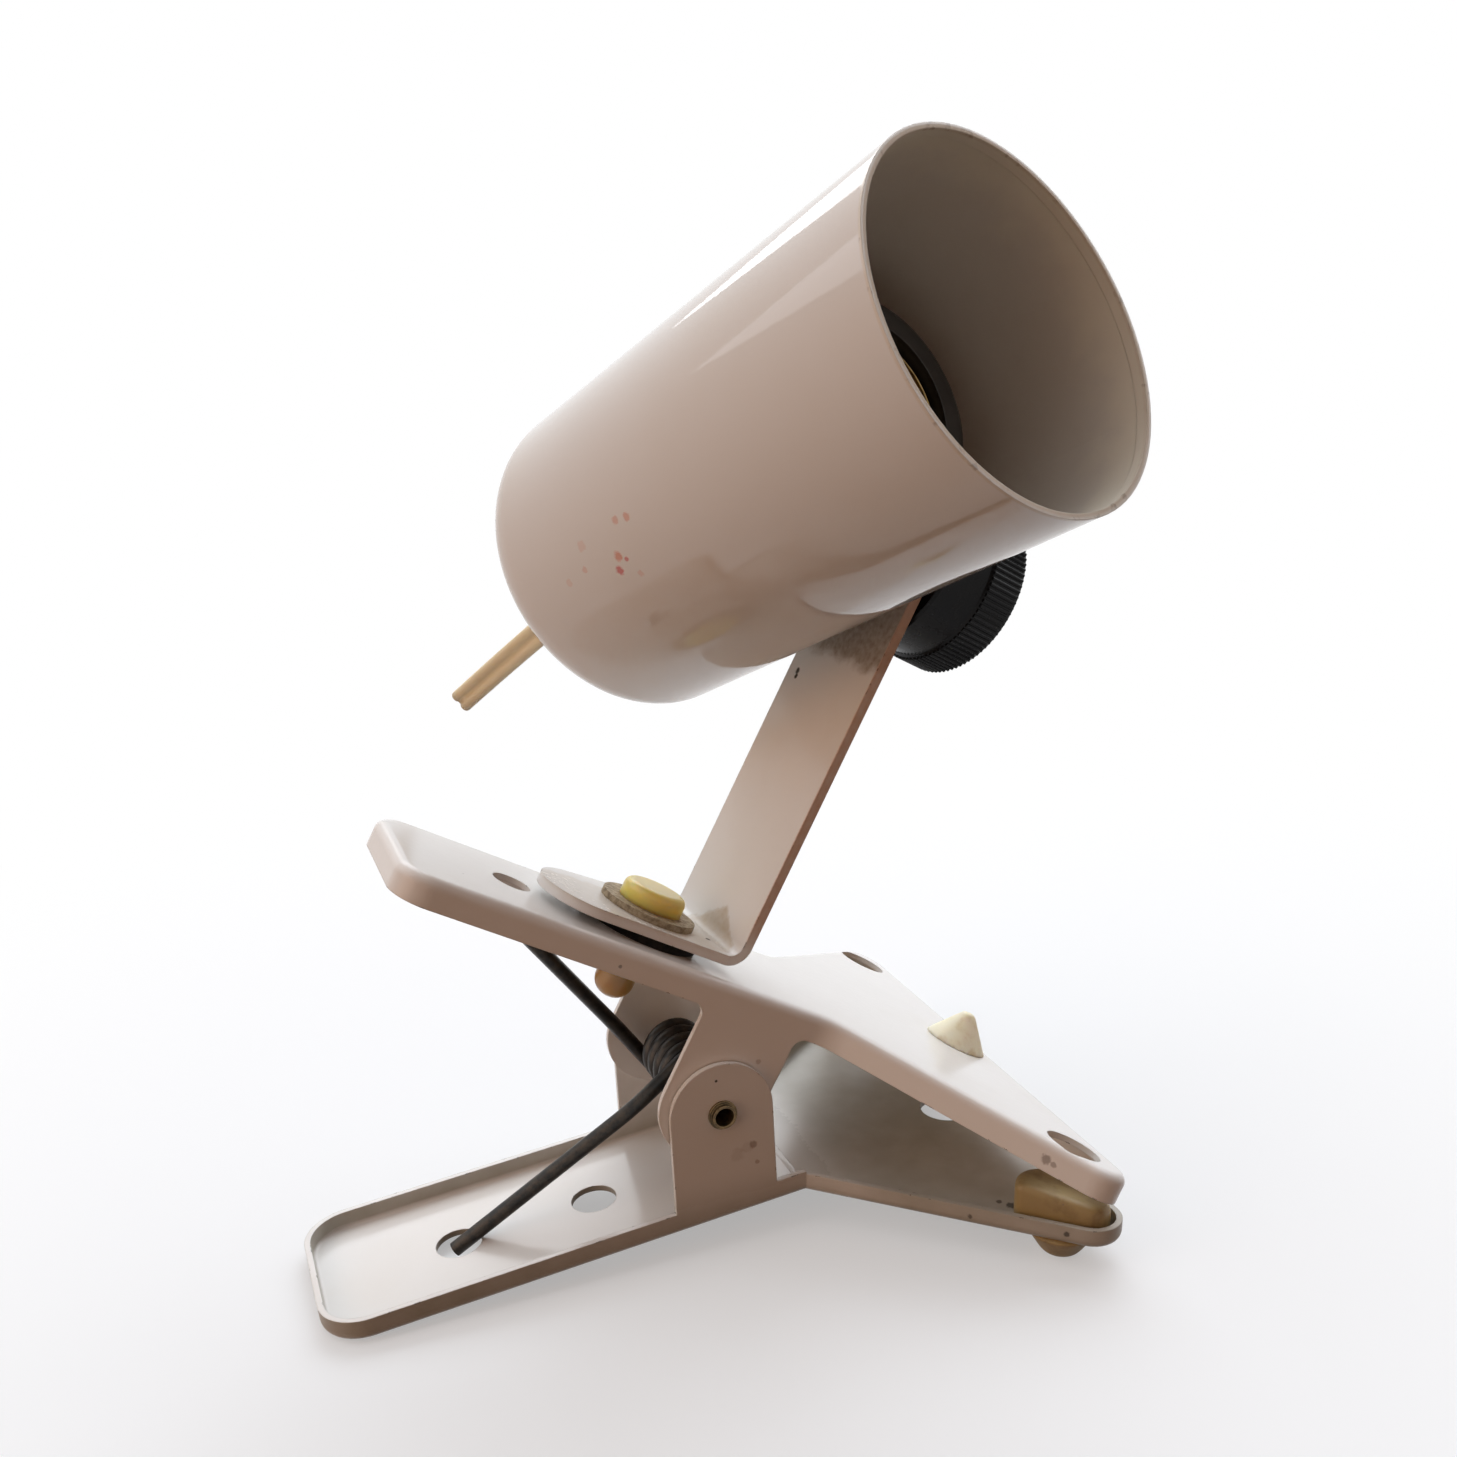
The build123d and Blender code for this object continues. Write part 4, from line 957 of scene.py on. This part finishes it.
def make_spring():
    """The wound spring: a coil round the pin, with legs that reach along the two handles."""
    lower_leg, turns, upper_leg = spring_line()
    line = [pin.origin + point * MM for point in lower_leg + turns + upper_leg]
    mesh = bpy.data.meshes.new("spring_line")
    mesh.from_pydata(line, [(k, k + 1) for k in range(len(line) - 1)], [])
    wire = link("spring_wire", grown("spring_wire", mesh, wire_tree()))
    near = max(point.dot(BLEND_WAY) for point in lower_leg) + WIRE / 2
    far = min(point.dot(BLEND_WAY) for point in upper_leg) - WIRE / 2
    ends = [pin.origin + BLEND_WAY * reach * MM for reach in (near, far)]
    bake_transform(wire)
    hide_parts("torsion_spring")


make_spring()

# Knob: a turned body with straight knurling round its rim
# Its outline: radius and height in millimetres, from the middle of the face round to the back
KNOB_OUTLINE = [(0.0, 18.3), (11.8, 18.3), (13.2, 19.1), (16.6, 19.1), (17.4, 18.7), (17.6, 18.0),
                (17.6, 11.0), (17.3, 10.6), (17.1, 10.4), (17.0, 9.8), (17.0, 1.6), (16.5, 1.0), (4.0, 1.0)]
KNURL_COUNT = 96
KNURL_RADIUS = 0.42
KNURL_RIM = 17.6
KNURL_MIDDLE = 14.6
KNURL_LENGTH = 7.4
KNURL_SIDES = 6
LATHE_STEPS = 96
SHARP_ANGLE = radians(35)


def lathe(outline):
    """Turns an outline of (radius, height) points in millimetres about Z, as a mesh in metres."""
    net = bmesh.new()
    rows = []
    for radius, height in outline:
        if radius == 0:
            rows.append([net.verts.new((0, 0, height * MM))])
            continue
        rows.append([net.verts.new((u * MM, v * MM, height * MM)) for u, v in ring_of(radius, LATHE_STEPS)])
    for first, second in zip(rows, rows[1:]):
        for here in range(LATHE_STEPS):
            there = (here + 1) % LATHE_STEPS
            corners = [first[here % len(first)], first[there % len(first)],
                       second[there % len(second)], second[here % len(second)]]
            net.faces.new(dict.fromkeys(corners))
    bmesh.ops.recalc_face_normals(net, faces=net.faces)
    mesh = bpy.data.meshes.new("turned")
    net.to_mesh(mesh)
    net.free()
    return mesh


def knurl_tree():
    """Geometry tree that stands ridges round a turned body and keeps the body."""
    grow = Growth("straight_knurl", Count=KNURL_COUNT, Rim=KNURL_RIM * MM, Ridge=KNURL_RADIUS * MM,
                  Length=KNURL_LENGTH * MM, Middle=KNURL_MIDDLE * MM)
    sockets = {"Vertices": grow.inputs["Count"], "Radius": grow.inputs["Rim"]}
    circle = grow.node("GeometryNodeMeshCircle", {}, sockets)
    lift = grow.node("ShaderNodeCombineXYZ", {}, {"Z": grow.inputs["Middle"]})
    raised = grow.node("GeometryNodeTransform", {}, {"Geometry": circle, "Translation": lift})
    place = grow.node("GeometryNodeInputPosition")
    flat = grow.node("ShaderNodeVectorMath", {"operation": "MULTIPLY"}, {0: place, 1: (1, 1, 0)})
    facing = grow.node("FunctionNodeAlignRotationToVector", {"axis": "X"}, {"Vector": flat})
    sockets = {"Vertices": KNURL_SIDES, "Radius": grow.inputs["Ridge"], "Depth": grow.inputs["Length"]}
    ridge = grow.node("GeometryNodeMeshCylinder", {}, sockets)
    sockets = {"Points": raised, "Instance": ridge, "Rotation": facing}
    ridges = grow.node("GeometryNodeInstanceOnPoints", {}, sockets)
    both = grow.tree.nodes.new("GeometryNodeJoinGeometry")
    grow.feed(both.inputs[0], ridges)
    grow.feed(both.inputs[0], grow.inputs["Geometry"])
    return grow.close(Value(grow, both.outputs[0]), black_plastic)


def make_knob():
    """The knob, in place on its screw."""
    mesh = grown("knob_grip", lathe(KNOB_OUTLINE), knurl_tree())
    mesh.transform(knob.matrix())
    grip = link("knob_grip", mesh)
    mesh.set_sharp_from_angle(angle=SHARP_ANGLE)
    swap(grip, "knob", "black_plastic", "tilt_knob")


make_knob()

# Threaded shell of the lampholder, rolled from thin brass
SHELL_MEAN = 13.2
SHELL_WAVE = 0.32
SHELL_WALL = 0.3
SHELL_PITCH = 3.6
SHELL_LENGTH = 20.0
SHELL_RISES = 64
SHELL_TURNS = 56


def make_shell():
    """The shell with its rolled thread, open at both ends."""
    net = bmesh.new()
    mouth = Place(mounts["lamp_socket"]["pos_m"], socket_axis, arm.x)
    walls = []
    for wall in (0.0, SHELL_WALL):
        rows = []
        for rise in range(SHELL_RISES + 1):
            height = rise / SHELL_RISES * SHELL_LENGTH
            row = []
            for turn in range(SHELL_TURNS):
                angle = FULL_TURN * turn / SHELL_TURNS
                radius = SHELL_MEAN + wall + SHELL_WAVE * cos(FULL_TURN * height / SHELL_PITCH - angle)
                row.append(net.verts.new(mouth.at(radius * cos(angle), radius * sin(angle), -height)))
            rows.append(row)
        walls.append(rows)
    inner, outer = walls
    strips = list(zip(inner, inner[1:])) + list(zip(outer, outer[1:]))
    strips += [(inner[0], outer[0]), (inner[-1], outer[-1])]
    for first, second in strips:
        for here in range(SHELL_TURNS):
            there = (here + 1) % SHELL_TURNS
            net.faces.new((first[here], first[there], second[there], second[here]))
    bmesh.ops.recalc_face_normals(net, faces=net.faces)
    mesh = bpy.data.meshes.new("shell_thread")
    net.to_mesh(mesh)
    net.free()
    shell = link("shell_thread", mesh, brass)
    swap(shell, "lamp_head", "brass", "screw_shell")


make_shell()

# Floor, world and lamps
FLOOR_SIZE = 8.0
FLOOR_ROUGH = 0.9
FLOOR_PALE = (0.88, 0.92, 0.96, 1)
FLOOR_WARM = (0.10, 0.055, 0.03, 1)
FLOOR_GLOW = 0.4
SHADOW_REACH = (80.0, 340.0)
WHITE = (1, 1, 1, 1)
WORLD_WARM = (0.42, 0.19, 0.095, 1)
WORLD_COOL = (0.40, 0.34, 0.28, 1)
WORLD_STRENGTH = 0.4
# How fast the world goes over from warm to cool towards the light, and where it starts
COOL_SLOPE = 0.9
COOL_START = 0.1
KEY_WAY = Vector((-0.42, 0.52, 0.74)).normalized()


def seen_share(net):
    """1 for rays from the camera and from gloss and glass, 0 for light that is scattered."""
    path = "ShaderNodeLightPath"
    camera = net.node(path, {}, {}, "Is Camera Ray")
    glossy = net.node(path, {}, {}, "Is Glossy Ray")
    through = net.node(path, {}, {}, "Is Transmission Ray")
    return net.larger(net.larger(camera, glossy), through)


def make_floor():
    """A pale floor that keeps the shadow near the lamp, goes over to white, and bounces little light."""
    mesh = bpy.data.meshes.new("floor")
    half = FLOOR_SIZE / 2
    corners = [(-half, -half, 0), (half, -half, 0), (half, half, 0), (-half, half, 0)]
    mesh.from_pydata(corners, [], [(0, 1, 2, 3)])
    floor = bpy.data.objects.new("floor", mesh)
    bpy.context.scene.collection.objects.link(floor)
    finish = Finish("pale_floor", Roughness=FLOOR_ROUGH)
    seen = seen_share(finish)
    finish.surface(Base_Color=finish.mix(seen, FLOOR_WARM, FLOOR_PALE))
    far = finish.fade(finish.apart((0, 0, 0)), *SHADOW_REACH)
    glow = finish.node("ShaderNodeEmission", {}, {"Color": WHITE, "Strength": 1.0})
    shader = Value(finish, finish.shader.outputs[0])
    white = seen * (FLOOR_GLOW + far * (1 - FLOOR_GLOW))
    both = finish.node("ShaderNodeMixShader", {}, {0: white, 1: shader, 2: glow})
    finish.feed(finish.tree.nodes["Material Output"].inputs["Surface"], both)
    mesh.materials.append(finish.material)


def make_world():
    """White to the camera; for the light, pale from above and behind, warm and dim from in front."""
    world = bpy.data.worlds.new("room")
    world.use_nodes = True
    bpy.context.scene.world = world
    net = Net(world.node_tree)
    way = net.node("ShaderNodeTexCoord", {}, {}, "Generated")
    sockets = {0: way, 1: tuple(KEY_WAY)}
    facing = net.node("ShaderNodeVectorMath", {"operation": "DOT_PRODUCT"}, sockets, "Value")
    lit = net.smaller(net.larger(facing * COOL_SLOPE - COOL_START, 0.0), 1.0)
    tint = net.node("ShaderNodeMix", {"data_type": "RGBA"}, {0: lit, 6: WORLD_WARM, 7: WORLD_COOL}, 2)
    dim = net.node("ShaderNodeBackground", {}, {"Color": tint, "Strength": WORLD_STRENGTH})
    pale = net.node("ShaderNodeBackground", {}, {"Color": WHITE, "Strength": 1.0})
    both = net.node("ShaderNodeMixShader", {}, {0: seen_share(net), 1: dim, 2: pale})
    net.feed(world.node_tree.nodes["World Output"].inputs["Surface"], both)


LAMP_DISTANCE = 2.0
LAMP_AIM = Vector((0, 0, 0.1))


def make_lamp(name, toward, side, power, tint):
    """A soft square lamp in a direction from the aimed point."""
    data = bpy.data.lights.new(name, "AREA")
    data.shape = "SQUARE"
    data.size = side
    data.energy = power
    data.color = tint
    lamp = bpy.data.objects.new(name, data)
    way = Vector(toward).normalized()
    turn = way.to_track_quat("Z", "Y").to_matrix().to_4x4()
    lamp.matrix_world = Matrix.Translation(LAMP_AIM + way * LAMP_DISTANCE) @ turn
    bpy.context.scene.collection.objects.link(lamp)


DAYLIGHT = (0.95, 1.0, 1.05)
ROOM_GLOW = (1.0, 0.60, 0.38)
# Soft lamps: the direction, the side in metres, the power in watts and the tint
LAMPS = {
    "left_lamp": ((-0.62, 0.22, 0.75), 2.0, 11.5, DAYLIGHT),
    "back_lamp": ((0.22, 0.70, 0.68), 1.6, 20.0, DAYLIGHT),
    "far_lamp": ((0.45, 0.50, 0.74), 1.6, 10.0, DAYLIGHT),
    "right_lamp": ((0.75, 0.25, 0.62), 1.6, 12.0, DAYLIGHT),
    "high_lamp": ((0.0, 0.0, 1.0), 1.6, 4.0, DAYLIGHT),
    "warm_lamp": ((-0.93, -0.25, 0.25), 1.6, 11.0, ROOM_GLOW),
}

make_floor()
make_world()
for lamp_name, lamp_values in LAMPS.items():
    make_lamp(lamp_name, *lamp_values)

view_settings = bpy.context.scene.view_settings
view_settings.view_transform = "Standard"
